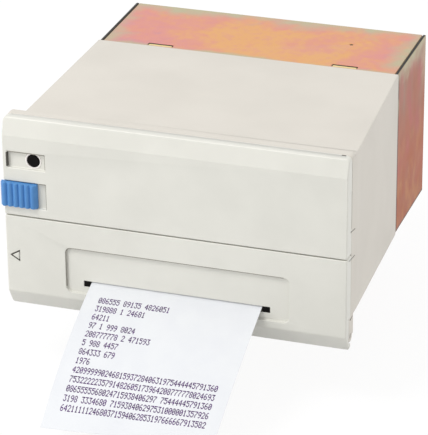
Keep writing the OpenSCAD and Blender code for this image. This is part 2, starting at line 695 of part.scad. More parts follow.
module paper_web() color(paper_c) along_x(paper_cx - paper_w / 2, paper_cx + paper_w / 2) polygon(
    let (a = feed_at + (feed_r + web_gap) * web_normal, b = roll_at + (roll_r + web_gap) * web_normal,
    u = unit(b - a), n = web_normal * paper_t / 2)
    [a + u * 0.3 - n, b - n, b + n, a + u * 0.3 + n]);

// Latch slider: ribbed knob outside, sprung hook inside
rib_pitch = (slider_w - 0.6) / rib_count;
module latch_knob() color(blue_c) {
    block([slider_left, face_y - slider_proud + rib_pitch * 0.42, slider_z - slider_h / 2],
        [slider_right, slider_floor, slider_z + slider_h / 2]);
    for (i = [0:rib_count - 1]) rod_z(rib_pitch * 0.42, slider_z - slider_h / 2, slider_z + slider_h / 2,
        slider_left + 0.3 + rib_pitch * (i + 0.5), face_y - slider_proud + rib_pitch * 0.42);
    block([stem_x[0], slider_floor - 0.1, slider_z - stem_h / 2],
        [stem_x[1], inner_y + 0.1, slider_z + stem_h / 2]);
}

module latch_hook() color(dark_c) {
    block([slider_left + 3, inner_y + 0.1, slider_z - hook_h / 2 - 0.7],
        [hook_x[1], inner_y + 1.1, slider_z + hook_h / 2 + 0.7]);
    block([hook_x[0], inner_y + 1, slider_z - hook_h / 2],
        [hook_x[1], hook_end, slider_z + hook_h / 2]);
    block([hook_x[0] - 0.2, catch_y[1] + 0.4, slider_z - hook_h / 2],
        [hook_x[1], hook_end, slider_z + hook_h / 2]);
}

module latch_spring() color(steel_c)
    tube_x(0.9, 0.55, spring_x[0], spring_x[1] - 0.1, [inner_y + 2, slider_z]);

module feed_button() color(dark_c) {
    intersection() {
        rod_y(button_r, recess_y - 0.4, inner_y + 0.2, button_x, button_z);
        translate([button_x, recess_y - 0.4 + button_dia, button_z]) sphere(r = button_dia);
    }
    rod_y(button_r + 0.75, inner_y + 0.1, inner_y + 0.9, button_x, button_z);
    rod_y(1, inner_y + 0.8, switch_y[0] - button_travel - 0.2, button_x, button_z);
}

module button_spring() color(steel_c) difference() {
    rod_y(2, inner_y + 1, switch_y[0] + 0.5, button_x, button_z);
    rod_y(1.6, inner_y, switch_y[1], button_x, button_z);
}

// Paper roll on its spindle
module paper_roll() color(paper_c)
    tube_x(roll_r, core_dia / 2 + 0.05, paper_cx - paper_w / 2, paper_cx + paper_w / 2, roll_at);

core_bore = core_dia / 2 - 1.3;
spindle_r = 2.5;
module roll_core() color([0.72, 0.6, 0.45])
    tube_x(core_dia / 2, core_bore, paper_cx - paper_w / 2, paper_cx + paper_w / 2, roll_at);

module roll_shaft() color(dark_c) {
    rod_x(spindle_r, paper_cx - bracket_x - bracket_t - 1.6, paper_cx + bracket_x + bracket_t + 1.6, roll_at);
    for (s = [-1, 1]) rod_x(core_bore - 0.05, paper_cx + s * (paper_w / 2 - 3) - 2.6,
        paper_cx + s * (paper_w / 2 - 3) + 2.6, roll_at);
}

module roll_bracket(s) difference() {
    union() {
        along_x(paper_cx + s * (bracket_x + bracket_t / 2) - bracket_t / 2,
            paper_cx + s * (bracket_x + bracket_t / 2) + bracket_t / 2) polygon([
            [foot_y[0], floor_at(foot_y[0])], [foot_y[1], floor_at(foot_y[1])],
            [foot_y[1], floor_at(foot_y[1]) + 3], [roll_at[0] + 5.5, roll_at[1] - 4],
            [roll_at[0] + 5.5, roll_at[1] + 5], [roll_at[0] - 5.5, roll_at[1] + 5],
            [roll_at[0] - 5.5, roll_at[1] - 4], [foot_y[0], floor_at(foot_y[0]) + 3]]);
        along_x(paper_cx + s * (bracket_x + foot_w / 2 + 0.5) - foot_w / 2 - 0.5,
            paper_cx + s * (bracket_x + foot_w / 2 + 0.5) + foot_w / 2 + 0.5) polygon([
            [foot_y[0], floor_at(foot_y[0])], [foot_y[1], floor_at(foot_y[1])],
            [foot_y[1], floor_at(foot_y[1]) + 1.6], [foot_y[0], floor_at(foot_y[0]) + 1.6]]);
    }
    rod_x(spindle_r + run_fit, paper_cx - 50, paper_cx + 50, roll_at);
    block([-50, roll_at[0] - spindle_r - run_fit, roll_at[1]],
        [50, roll_at[0] + spindle_r + run_fit, roll_at[1] + 20]);
    for (y = [foot_y[0] + 3, foot_y[1] - 3])
        rod_z(0.85, 5, 20, paper_cx + s * (bracket_x + bracket_t + 4), y);
}
module roll_bracket_left() color(steel_c) roll_bracket(-1);
module roll_bracket_right() color(steel_c) roll_bracket(1);

module bracket_screws() color(steel_c) for (s = [-1, 1], y = [foot_y[0] + 3, foot_y[1] - 3]) {
    rod_z(0.65, floor_at(y) - 1.2, floor_at(y) + 2, paper_cx + s * (bracket_x + bracket_t + 4), y);
    rod_z(1.5, floor_at(y) + 1.75, floor_at(y) + 2.6, paper_cx + s * (bracket_x + bracket_t + 4), y);
}

module feed_roller() color(dark_c)
    tube_x(feed_r, feed_shaft_r + 0.02, mech_left + 8, mech_right - 8, feed_at);

module feed_shaft() color(steel_c)
    rod_x(feed_shaft_r, mech_left - plate_t - 0.8, gear_x + gear_w + 0.6, feed_at);

module feed_gear() color(gear_c) gear_x(feed_n, feed_turn, gear_x, feed_at, feed_shaft_r + 0.02);

module pressure_roller() color(dark_c) {
    rod_x(press_r, mech_left + 8, mech_right - 8, press_at);
    rod_x(press_shaft_r, mech_left - plate_t - 0.6, mech_right + plate_t + 0.2, press_at);
}

module idler_gear() color(gear_c) gear_x(idler_n, idler_turn, gear_x, idler_at, 1.5 + run_fit);

module motor_pinion() color(brass_c) {
    gear_x(pinion_n, pinion_turn, gear_x, motor_at, motor_shaft_r - 0.1);
    rod_x(motor_shaft_r, mech_right - 5, gear_x + gear_w, motor_at);
}

// Print head on its carriage
module head_carriage() color(dark_c) difference() {
    block([paper_cx - carriage_w / 2, mech_front + 0.3, 25.8],
        [paper_cx + carriage_w / 2, head_reach[0], 37.6]);
    rod_x(guide_r + run_fit, -50, 50, guide_at);
    rod_x(guide_r + run_fit, -50, 50, screw_at);
}

module print_head() color(steel_c) {
    block([paper_cx - 5.5, head_reach[0], 29.8], [paper_cx + 5.5, head_reach[1] - 2.2, 36.4]);
    for (i = [-3:3]) block([paper_cx + i * 1.75 - 0.35, head_reach[0], 28.4],
        [paper_cx + i * 1.75 + 0.35, head_reach[1] - 2.4, 37.4]);
    block([paper_cx - 1.6, head_reach[1] - 2.3, 31], [paper_cx + 1.6, head_reach[1], 35.4]);
}

module lead_screw() color(steel_c)
    rod_x(guide_r, mech_left - plate_t - 0.64 * head_motor_l, mech_right + plate_t + 0.2, screw_at);

// Metal rear box
module clamp_slots() for (x = [-31.2, 33.5], z = [metal_bottom, metal_top])
    block([x - clamp_slot_l / 2, bulk_y + sheet_t + 0.2, z - 3],
        [x + clamp_slot_l / 2, bulk_y + sheet_t + 0.2 + clamp_slot_w, z + 3]);

port_screw = 24.2;
module rear_wrap() color(zinc_c) difference() {
    block([-metal_half + sheet_t + 0.2, bulk_y, metal_bottom],
        [metal_half - sheet_t - 0.2, rear_y, metal_top]);
    block([-metal_half, bulk_y - 1, metal_bottom + sheet_t],
        [metal_half, rear_y - sheet_t, metal_top - sheet_t]);
    clamp_slots();
    block([port_x - 20.6, rear_y - 3, port_z - 5], [port_x + 20.6, rear_y + 1, port_z + 5]);
    for (s = [-1, 1]) rod_y(1.3, rear_y - 3, rear_y + 1, port_x + s * port_screw, port_z);
    block([power_x - 6.4, rear_y - 3, board_top + 1.6], [power_x + 6.4, rear_y + 1, board_top + 11]);
    for (s = [-1, 1], z = boss_z) rod_y(1.05, rear_y - 3, rear_y + 1, s * (metal_half - 5), z);
    for (x = [-board_w / 2 + 5, board_w / 2 - 5], y = [board_y + 3, board_y + board_l - 3])
        rod_z(1.05, metal_bottom - 1, metal_bottom + 3, x, y);
    rod_z(0.6, metal_top - 0.5, metal_top + 1, 30.4, 89.8);
}

module side_plate(s) difference() {
    union() {
        block([s > 0 ? metal_half - sheet_t : -metal_half, bulk_y, metal_bottom],
            [s > 0 ? metal_half : -metal_half + sheet_t, rear_y, metal_top]);
        for (y = [bulk_y + sheet_t + 0.2, rear_y - 2 * sheet_t - 0.15])
            block([s > 0 ? metal_half - 9 : -metal_half, y, metal_bottom + sheet_t + 0.3],
                [s > 0 ? metal_half : -metal_half + 9, y + sheet_t, metal_top - sheet_t - 0.3]);
    }
    for (z = boss_z) {
        rod_y(1.05, rear_y - 4, rear_y + 1, s * (metal_half - 5), z);
        rod_y(2.4, bulk_y - 1, bulk_y + 4, s * boss_x, z);
    }
}
module side_plate_left() color(zinc_c) side_plate(-1);
module side_plate_right() color(zinc_c) side_plate(1);

module rear_screws() color(steel_c) for (s = [-1, 1], z = boss_z)
    translate([0, rear_y, 0]) screw_front(s * (metal_half - 5), 0, z, 4, 1);

module bulkhead() color(steel_c) difference() {
    block([-metal_half + sheet_t + 0.5, bulk_y, metal_bottom + sheet_t + 0.15],
        [metal_half - sheet_t - 0.5, bulk_y + sheet_t, metal_top - sheet_t - 0.15]);
    for (s = [-1, 1], z = boss_z) rod_y(1, bulk_y - 1, bulk_y + 3, s * boss_x, z);
    block([34, bulk_y - 1, 18], [44, bulk_y + 3, 26]);
}

module bulkhead_screws() color(steel_c) for (s = [-1, 1], z = boss_z)
    screw_front(s * boss_x, bulk_y + sheet_t, z, 5.5, 0.8);

module control_board() color(board_c) difference() {
    block([-board_w / 2, board_y, board_z], [board_w / 2, board_y + board_l, board_top]);
    for (x = [-board_w / 2 + 5, board_w / 2 - 5], y = [board_y + 3, board_y + board_l - 3])
        rod_z(1.1, board_z - 1, board_top + 1, x, y);
}

module board_standoffs() color(brass_c)
    for (x = [-board_w / 2 + 5, board_w / 2 - 5], y = [board_y + 3, board_y + board_l - 3]) difference() {
        rod_z(2.3, metal_bottom + sheet_t, board_z, x, y);
        rod_z(1.05, metal_bottom, board_z + 1, x, y);
    }

module board_screws() color(steel_c)
    for (x = [-board_w / 2 + 5, board_w / 2 - 5], y = [board_y + 3, board_y + board_l - 3]) {
        rod_z(1, metal_bottom + sheet_t + 1.6, board_top + 0.1, x, y);
        rod_z(2.1, board_top, board_top + 1, x, y);
        rod_z(1, metal_bottom + 0.1, metal_bottom + sheet_t + 1.4, x, y);
        rod_z(2, metal_bottom - 0.8, metal_bottom, x, y);
    }

// Chips as [x, y, width, depth, height], counted from the board's front left corner
chips = [[6, 9, 40, 13, 3.6], [52, 10, 33, 12, 3.4], [14, 3, 18, 5, 2], [37, 3, 9, 5, 2], [50, 3, 9, 5, 2],
    [87, 10, 3, 12, 5]];
module board_chips() color(dark_c) for (c = chips)
    block([c[0] - board_w / 2, board_y + c[1], board_top],
        [c[0] + c[2] - board_w / 2, board_y + c[1] + c[3], board_top + c[4]]);

// Capacitors as [x, y, radius, height]
cans = [[66, 5, 4, 11], [75, 5, 3.2, 9], [3.4, 15, 2.2, 7], [64.5, 26.4, 2.4, 7]];
module board_capacitors() color([0.15, 0.2, 0.4]) for (c = cans)
    rod_z(c[2], board_top, board_top + c[3], c[0] - board_w / 2, board_y + c[1]);

module data_connector() color(steel_c) difference() {
    union() {
        round_block([port_x - 19.4, rear_y - 3, port_z - 4.2],
            [port_x + 19.4, rear_y + 5.8, port_z + 4.2], 2);
        round_block([port_x - 26.5, rear_y + 0.1, port_z - 6.2],
            [port_x + 26.5, rear_y + 0.95, port_z + 6.2], 1);
        block([port_x - 19.8, rear_y - 8, board_top], [port_x + 19.8, rear_y - sheet_t - 0.1, port_z + 4.6]);
    }
    for (i = [0:12]) rod_y(0.5, rear_y + 1, rear_y + 7, port_x + (i - 6) * 2.77, port_z + 1.42);
    for (i = [0:11]) rod_y(0.5, rear_y + 1, rear_y + 7, port_x + (i - 5.5) * 2.77, port_z - 1.42);
    for (s = [-1, 1]) rod_y(1.2, rear_y - 1, rear_y + 2, port_x + s * port_screw, port_z);
}

module connector_jackscrews() color(brass_c) for (s = [-1, 1]) {
    rod_y(1.1, rear_y - 3, rear_y + 1, port_x + s * port_screw, port_z);
    difference() {
        rod_y(2.3, rear_y + 1, rear_y + 5.6, port_x + s * port_screw, port_z);
        rod_y(jack_bore_r, rear_y + 2.4, rear_y + 7, port_x + s * port_screw, port_z);
    }
}

module power_connector() color([0.9, 0.9, 0.86]) difference() {
    union() {
        block([power_x - 6, rear_y - 9, board_top], [power_x + 6, rear_y - sheet_t - 0.1, board_top + 10.4]);
        block([power_x - 6, rear_y - 3, board_top + 2], [power_x + 6, rear_y + 3.4, board_top + 10.4]);
    }
    block([power_x - 5, rear_y - 5, board_top + 3], [power_x + 5, rear_y + 4, board_top + 9.4]);
}

module placed() translate([0, 0, -seat_z]) children();

placed() case_shell();
placed() hinge_pins();
placed() roll_bracket_left();
placed() roll_bracket_right();
placed() bracket_screws();
placed() bulkhead();
placed() bulkhead_screws();
placed() rear_wrap();
placed() side_plate_left();
placed() side_plate_right();
placed() rear_screws();
placed() control_board();
placed() board_standoffs();
placed() board_screws();
placed() board_chips();
placed() board_capacitors();
placed() data_connector();
placed() connector_jackscrews();
placed() power_connector();
placed() paper_web();
placed() upper_cover();
placed() lower_cover();
placed() joining_plate();
placed() cover_screws();
placed() panel_board();
placed() feed_switch();
placed() mech_side_left();
placed() mech_side_right();
placed() tie_rods();
placed() roller_bushes();
placed() platen();
placed() guide_shaft();
placed() chute_upper();
placed() chute_lower();
placed() feed_motor();
placed() head_motor();
placed() idler_stud();
placed() ribbon_cassette();
placed() ribbon();
placed() paper_strip();
placed() latch_knob();
placed() latch_hook();
placed() latch_spring();
placed() feed_button();
placed() button_spring();
placed() paper_roll();
placed() roll_core();
placed() roll_shaft();
placed() feed_roller();
placed() feed_shaft();
placed() feed_gear();
placed() pressure_roller();
placed() idler_gear();
placed() motor_pinion();
placed() head_carriage();
placed() print_head();
placed() lead_screw();
placed() ribbon_knob();
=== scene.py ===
"""Looks of a panel-mount dot matrix printer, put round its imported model.

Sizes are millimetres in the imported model's own frame: X to the right, Y to the rear, Z up, with the
origin in the seat behind the front flange. A mesh is turned into metres when it is made.
"""
import json
import logging
import math
from dataclasses import dataclass, field
from enum import Enum
from typing import Any, Callable, Sequence

import bmesh
import bpy
import numpy as np
from mathutils import Matrix, Vector


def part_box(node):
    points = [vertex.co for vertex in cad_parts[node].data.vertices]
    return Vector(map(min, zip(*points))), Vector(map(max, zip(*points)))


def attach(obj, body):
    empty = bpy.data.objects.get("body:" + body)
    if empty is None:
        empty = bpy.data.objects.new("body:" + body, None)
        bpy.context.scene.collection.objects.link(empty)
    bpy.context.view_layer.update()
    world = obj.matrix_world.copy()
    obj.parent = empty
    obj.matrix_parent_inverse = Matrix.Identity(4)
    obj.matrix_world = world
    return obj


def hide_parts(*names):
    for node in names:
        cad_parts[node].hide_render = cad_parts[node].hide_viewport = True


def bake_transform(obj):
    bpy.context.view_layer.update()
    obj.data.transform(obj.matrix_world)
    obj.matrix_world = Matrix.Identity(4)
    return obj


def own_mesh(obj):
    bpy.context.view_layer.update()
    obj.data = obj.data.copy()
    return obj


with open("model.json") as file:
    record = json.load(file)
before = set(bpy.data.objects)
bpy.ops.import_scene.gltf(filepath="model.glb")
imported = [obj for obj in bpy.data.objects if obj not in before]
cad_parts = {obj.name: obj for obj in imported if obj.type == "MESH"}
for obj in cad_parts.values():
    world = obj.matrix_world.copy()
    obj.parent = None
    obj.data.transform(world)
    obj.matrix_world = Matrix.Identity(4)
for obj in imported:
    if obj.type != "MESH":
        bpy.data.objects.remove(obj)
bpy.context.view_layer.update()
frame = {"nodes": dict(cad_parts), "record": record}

LOG = logging.getLogger("printer")
MM = 0.001
ROOM_SHARE = 0.4  # widest rounding, as a share of the length of the edges beside it
IN_LINE = 0.94  # cosine above which a neighbouring edge goes on in the same line
LEAST_SHARE = 0.12  # roundings below this share of their width are left out
FLAT_TURN = 0.8  # faces that turn by less than these degrees are joined
END = 2.0  # reach in millimetres of a node's left and right end
HEAD_RINGS = (1.0, 1.0, 0.97, 0.9, 0.78, 0.66, 0.56, 0.5, 0.42, 0.34, 0.26, 0.18, 0.1, 0.0)
BODY_OF = {node: body for body, nodes in frame["record"]["behaviour"]["bodies"].items()
           for node in nodes}

Array = np.ndarray
Colour = tuple[int, int, int]
Pair = tuple[float, float]
Triple = tuple[float, float, float]
Socket = bpy.types.NodeSocket


# ---------------------------------------------------------------- meshes


class Axis(Enum):
    """Direction a turned or drawn part points in: the number of its coordinate, or downwards."""

    RIGHT = 0
    REAR = 1
    UP = 2
    DOWN = 3

    def turn(self, points: Array) -> Array:
        """Turns points drawn along Z towards this direction.

        Args:
            points: Points, with the length of the part in the last column.

        Returns:
            The same points, cyclically renamed, or turned over for DOWN.
        """
        if self is Axis.DOWN:
            return points * np.array([1.0, -1.0, -1.0])
        return np.roll(points, self.value + 1, -1)


@dataclass
class Skin:
    """Points in millimetres and the faces laid over them."""

    points: Array
    faces: list[list[int]]

    def __add__(self, other: "Skin") -> "Skin":
        """Joins two skins into one."""
        shift = len(self.points)
        return Skin(np.concatenate([self.points, other.points]),
                    self.faces + [[i + shift for i in face] for face in other.faces])

    def at(self, axis: Axis, place: Sequence[float]) -> "Skin":
        """Turns the skin to an axis and moves it to a place."""
        return Skin(axis.turn(self.points) + np.asarray(place, float), self.faces)

    def mesh(self, name: str) -> bpy.types.Mesh:
        """Mesh of the skin, in metres.

        Args:
            name: Name of the mesh.

        Returns:
            The mesh.
        """
        mesh = bpy.data.meshes.new(name)
        mesh.from_pydata((self.points * MM).tolist(), [], self.faces)
        return mesh


def joined(skins: Sequence[Skin]) -> Skin:
    """One skin of one or more skins."""
    return sum(skins[1:], skins[0])


def around(count: int) -> Array:
    """Angles of evenly spaced points round a circle, from 0."""
    return np.linspace(0, 2 * np.pi, count, endpoint=False)


def laid(x: Any, y: Any, z: Any) -> Array:
    """Points from their three coordinates, each an array or one number for all points."""
    return np.stack(np.broadcast_arrays(x, y, z), -1).astype(float)


def woven(rows: int, columns: int, round_rows: bool = False) -> list:
    """Faces of a grid of points, row after row, whose last column joins the first.

    Args:
        rows: Number of rows.
        columns: Number of points in a row.
        round_rows: True if the last row joins the first as well.

    Returns:
        Four-sided faces as lists of point numbers.
    """
    i, j = np.meshgrid(np.arange(rows if round_rows else rows - 1), np.arange(columns),
                       indexing="ij")
    k, l = (i + 1) % rows, (j + 1) % columns
    quads = np.stack([i * columns + j, i * columns + l, k * columns + l, k * columns + j], -1)
    return quads.reshape(-1, 4).tolist()


def looped(grid: Array) -> Skin:
    """Closed skin over a grid whose rows and columns both go round."""
    return Skin(grid.reshape(-1, 3), woven(*grid.shape[:2], True))


def capped(grid: Array) -> Skin:
    """Closed skin over a grid whose columns go round, with a flat face at each end.

    Args:
        grid: Points as rows, columns, 3.

    Returns:
        The skin.
    """
    rows, columns = grid.shape[:2]
    faces = woven(rows, columns)
    faces.append(list(range(columns))[::-1])
    faces.append([(rows - 1) * columns + j for j in range(columns)])
    return Skin(grid.reshape(-1, 3), faces)


def lifted(flat: Array, heights: Array) -> Skin:
    """Closed skin over flat loops of points, each raised to its own height."""
    high = np.broadcast_to(heights[:, None, None], flat.shape[:2] + (1,))
    return capped(np.concatenate([flat, high], -1))


def turned(profile: Sequence[Pair], sides: int = 40) -> Skin:
    """Turned part: each profile point (r, h) becomes the ring r cos t, r sin t, h.

    Args:
        profile: Radius and height of each ring, from the bottom to the top.
        sides: Number of points in a ring.

    Returns:
        The closed skin, along Z.
    """
    line = np.asarray(profile, float)
    ring = np.stack([np.cos(around(sides)), np.sin(around(sides))], -1)
    return lifted(line[:, None, :1] * ring, line[:, 1])


def carried(outline: Array, stations: Sequence[Pair]) -> Skin:
    """Outline carried along Z: at each station it is drawn in along its own normals.

    Args:
        outline: Closed outline in X and Y, counterclockwise.
        stations: Height and inset of each copy, from the bottom to the top.

    Returns:
        The closed skin.
    """
    ahead = np.roll(outline, -1, 0) - np.roll(outline, 1, 0)
    normal = np.stack([ahead[:, 1], -ahead[:, 0]], -1)
    normal /= np.linalg.norm(normal, axis=1, keepdims=True)
    line = np.asarray(stations, float)
    return lifted(outline - normal * line[:, 1, None, None], line[:, 0])


def soft_box(low: Sequence[float], high: Sequence[float], radius: float, steps: int = 3) -> Skin:
    """Box with round edges: a sphere of the edge radius, pulled apart to the box's corners.

    Args:
        low: Lowest corner.
        high: Highest corner.
        radius: Radius of the edges.
        steps: Faces across one rounded edge.

    Returns:
        The closed skin.
    """
    low, high = np.asarray(low, float), np.asarray(high, float)
    quarter = np.linspace(0, np.pi / 2, steps + 1)
    turn = np.concatenate([quarter + k * np.pi / 2 for k in range(4)])
    lift = np.concatenate([quarter - np.pi / 2, quarter])
    way = np.stack([np.cos(lift)[:, None] * np.cos(turn)[None],
                    np.cos(lift)[:, None] * np.sin(turn)[None],
                    np.sin(lift)[:, None] * np.ones_like(turn)[None]], -1)
    quadrant = np.repeat(np.array([[1, 1], [-1, 1], [-1, -1], [1, -1]]), steps + 1, 0)
    side = np.empty_like(way)
    side[..., :2] = quadrant[None]
    side[..., 2] = np.repeat([-1.0, 1.0], steps + 1)[:, None]
    grid = (low + high) / 2 + side * ((high - low) / 2 - radius) + way * radius
    return capped(grid)


def swept(path: Array, up: Sequence[float], radius: float) -> Skin:
    """Round wire: eight points of a circle, carried along a path square to its heading.

    Args:
        path: Points of the centre line.
        up: A direction that the path never follows.
        radius: Radius of the wire.

    Returns:
        The closed skin.
    """
    heading = np.gradient(path, axis=0)
    heading /= np.linalg.norm(heading, axis=1, keepdims=True)
    aside = np.cross(heading, np.asarray(up, float))
    aside /= np.linalg.norm(aside, axis=1, keepdims=True)
    above = np.cross(aside, heading)
    turn = around(8)[:, None]
    return capped(path[:, None] + radius * (np.cos(turn) * aside[:, None]
                                            + np.sin(turn) * above[:, None]))


def coil(radius: float, wire: float, length: float, turns: float, sides: int = 24) -> Skin:
    """Coil spring along Z: r cos t, r sin t, height in proportion to t, with flat closing turns.

    Args:
        radius: Radius of the coil's centre line.
        wire: Radius of the wire.
        length: Free length from end to end.
        turns: Number of turns, closing turns included.
        sides: Points for one turn.

    Returns:
        The closed skin.
    """
    turn = np.linspace(0, turns, int(turns * sides) + 1)
    ends = np.clip((turn - 0.75) / (turns - 1.5), 0, 1)
    high = wire + (length - 2 * wire) * ends
    angle = 2 * np.pi * turn
    return swept(laid(radius * np.cos(angle), radius * np.sin(angle), high), (0, 0, 1), wire)


def leaf(surface: Array, thick: float) -> Skin:
    """Thin closed sheet: a grid of points and the same grid pushed along its normals.

    Args:
        surface: Points as rows, columns, 3.
        thick: Thickness of the sheet, half to each side.

    Returns:
        The closed skin.
    """
    along, across = np.gradient(surface, axis=0), np.gradient(surface, axis=1)
    normal = np.cross(along, across)
    normal /= np.linalg.norm(normal, axis=-1, keepdims=True)
    rows, columns = surface.shape[:2]
    loop = np.concatenate([surface + normal * thick / 2,
                           (surface - normal * thick / 2)[:, ::-1]], 1)
    faces = woven(rows, 2 * columns)
    j = np.arange(columns - 1)
    end = np.stack([j, j + 1, 2 * columns - 2 - j, 2 * columns - 1 - j], -1)
    faces += end.tolist() + (end[:, ::-1] + (rows - 1) * 2 * columns).tolist()
    return Skin(loop.reshape(-1, 3), faces)


def shells(node: str) -> list[tuple[Array, Array]]:
    """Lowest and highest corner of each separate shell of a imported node.

    Args:
        node: Name of the node.

    Returns:
        One pair of corners in millimetres for each shell.
    """
    mesh = frame["nodes"][node].data
    points = np.empty(len(mesh.vertices) * 3)
    mesh.vertices.foreach_get("co", points)
    corners = np.empty(len(mesh.loops), int)
    mesh.loops.foreach_get("vertex_index", corners)
    _, first, same = np.unique(np.round(points.reshape(-1, 3) * 1e6).astype(np.int64), axis=0,
                               return_index=True, return_inverse=True)
    triangles = same.reshape(-1)[corners].reshape(-1, 3)
    label = np.arange(len(first))
    while True:
        lower = label.copy()
        np.minimum.at(lower, triangles.ravel(), np.repeat(label[triangles].min(1), 3))
        if (lower == label).all():
            break
        label = lower
    places = points.reshape(-1, 3)[first] / MM
    return [(places[label == k].min(0), places[label == k].max(0)) for k in np.unique(label)]


def first_shell(node: str) -> tuple[Array, Array, Array]:
    """Lowest corner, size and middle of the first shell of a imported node."""
    low, high = shells(node)[0]
    return low, high - low, (low + high) / 2


# ---------------------------------------------------------------- finishes


def linear(colour: Colour) -> tuple:
    """Display colour from 0 to 255 as a linear shader colour."""
    part = np.asarray(colour, float) / 255
    return (*np.where(part <= 0.04045, part / 12.92, ((part + 0.055) / 1.055) ** 2.4).tolist(), 1.0)


class Nodes:
    """A node tree, filled one node at a time."""

    def __init__(self, tree: bpy.types.NodeTree) -> None:
        """Starts with a tree as it is."""
        self.tree = tree

    def fill(self, node: bpy.types.Node, inputs: dict) -> bpy.types.Node:
        """Joins sockets to a node's inputs and sets plain values on them.

        Args:
            node: The node.
            inputs: Values or sockets by the input's name or number; None leaves an input alone.

        Returns:
            The same node.
        """
        for key, value in inputs.items():
            if isinstance(value, Socket):
                self.tree.links.new(value, node.inputs[key])
            elif value is not None:
                node.inputs[key].default_value = value
        return node

    def add(self, kind: str, inputs: dict, **settings: Any) -> bpy.types.Node:
        """Adds a node.

        Args:
            kind: Kind of node, without its ShaderNode prefix.
            inputs: Values or sockets for its inputs, by name or number.
            **settings: Its other settings.

        Returns:
            The node.
        """
        node = self.tree.nodes.new("ShaderNode" + kind)
        for key, value in settings.items():
            setattr(node, key, value)
        return self.fill(node, inputs)

    def maths(self, operation: str, *values: Any) -> Socket:
        """Result of one Math node over the values."""
        return self.add("Math", dict(enumerate(values)), operation=operation).outputs[0]

    def seen(self) -> Socket:
        """1 on what the camera sees directly, in a mirror or through glass, and 0 elsewhere."""
        path = self.add("LightPath", {}).outputs
        return self.maths("MAXIMUM", path["Is Camera Ray"], self.maths(
            "MAXIMUM", path["Is Glossy Ray"], path["Is Transmission Ray"]))


class Recipe(Nodes):
    """A material's nodes, joined to its Principled shader at the end."""

    def __init__(self, name: str) -> None:
        """Starts a material with one Principled shader.

        Args:
            name: Name of the material.
        """
        self.material = bpy.data.materials.new(name)
        self.material.use_nodes = True
        super().__init__(self.material.node_tree)
        self.tree.nodes.clear()
        self.shader = self.add("BsdfPrincipled", {})
        self.out = self.add("OutputMaterial", {0: self.shader.outputs[0]})
        self.place = self.add("TexCoord", {}).outputs["Object"]

    def noise(self, size: float, detail: float = 2.0, stretch: Sequence[float] = (1, 1, 1),
              twist: float = 0.0) -> Socket:
        """Cloudy pattern from 0 to 1: its size in millimetres, finer layers, scale and twist."""
        place = self.add("Mapping", {"Vector": self.place, "Scale": tuple(stretch)})
        return self.add("TexNoise", {"Vector": place.outputs[0], "Scale": 1 / (size * MM),
                                     "Detail": detail, "Distortion": twist}).outputs[0]

    def spread(self, value: Any, low: float, high: float) -> Socket:
        """Smooth step of a value from 0 at low to 1 at high."""
        return self.add("MapRange", {"Value": value, "From Min": low, "From Max": high},
                        interpolation_type="SMOOTHSTEP").outputs[0]

    def mix(self, share: Any, first: Any, second: Any) -> Socket:
        """Mixes two colours by a share from 0 to 1."""
        return self.add("Mix", {0: share, 6: first, 7: second}, data_type="RGBA").outputs[2]

    def edge(self, radius: float) -> Socket:
        """Mask of the edges: how far the normal, smoothed over a radius, leans from the true one.

        Args:
            radius: Reach of the edge in millimetres.

        Returns:
            A value near 1 on sharp outer and inner edges.
        """
        round_normal = self.add("Bevel", {"Radius": radius * MM}, samples=6).outputs[0]
        normal = self.add("NewGeometry", {}).outputs["Normal"]
        lean = self.add("VectorMath", {0: round_normal, 1: normal}, operation="DOT_PRODUCT")
        return self.spread(self.maths("SUBTRACT", 1.0, lean.outputs["Value"]), 0.01, 0.3)

    def bump(self, height: Any, depth: float, under: Any = None) -> Socket:
        """Bump of a height from 0 to 1 over a depth in millimetres, on another bump if given."""
        return self.add("Bump", {"Height": height, "Distance": depth * MM, "Strength": 1.0,
                                 "Normal": under}).outputs[0]

    def finish(self, colour: Any, roughness: Any, normal: Any, metallic: float = 0.0,
               specular: float = 0.5, coat: float = 0.0) -> bpy.types.Material:
        """Joins the results to the shader and returns the material."""
        self.fill(self.shader, {"Base Color": colour, "Roughness": roughness, "Normal": normal,
                                "Metallic": metallic, "Specular IOR Level": specular,
                                "Coat Weight": coat})
        return self.material


@dataclass(frozen=True)
class Finish:
    """A plain finish: blotches of two colours, rubbed edges, a fine grain and uneven gloss."""

    name: str
    slot: str
    colour: Colour
    second: Colour
    worn: Colour
    blotch: float = 18.0
    roughness: float = 0.5
    swing: float = 0.12
    grain: float = 0.35
    depth: float = 0.012
    stretch: Triple = (1.0, 1.0, 1.0)
    metallic: float = 0.0
    specular: float = 0.5
    coat: float = 0.0
    wear: float = 0.35

    def colours(self, recipe: Recipe) -> Socket:
        """Colour pattern of the surface, before its edges are worn."""
        share = recipe.spread(recipe.noise(self.blotch, 3.0), 0.3, 0.7)
        return recipe.mix(share, linear(self.colour), linear(self.second))

    def relief(self, recipe: Recipe) -> Socket:
        """Bump of the surface."""
        return recipe.bump(recipe.noise(self.grain, 2.0, self.stretch), self.depth)

    def material(self) -> bpy.types.Material:
        """Makes the material, or finds the one made before.

        Returns:
            The material.
        """
        made = bpy.data.materials.get(self.name)
        if made:
            return made
        recipe = Recipe(self.name)
        patches = recipe.maths("MULTIPLY", recipe.edge(0.35), recipe.noise(2.5, 3.0))
        colour = recipe.mix(recipe.maths("MULTIPLY", patches, self.wear), self.colours(recipe),
                            linear(self.worn))
        gloss = recipe.maths("MULTIPLY_ADD", recipe.noise(self.blotch / 3, 3.0, self.stretch),
                             self.swing, self.roughness - self.swing / 2)
        return recipe.finish(colour, gloss, self.relief(recipe), self.metallic, self.specular,
                             self.coat)


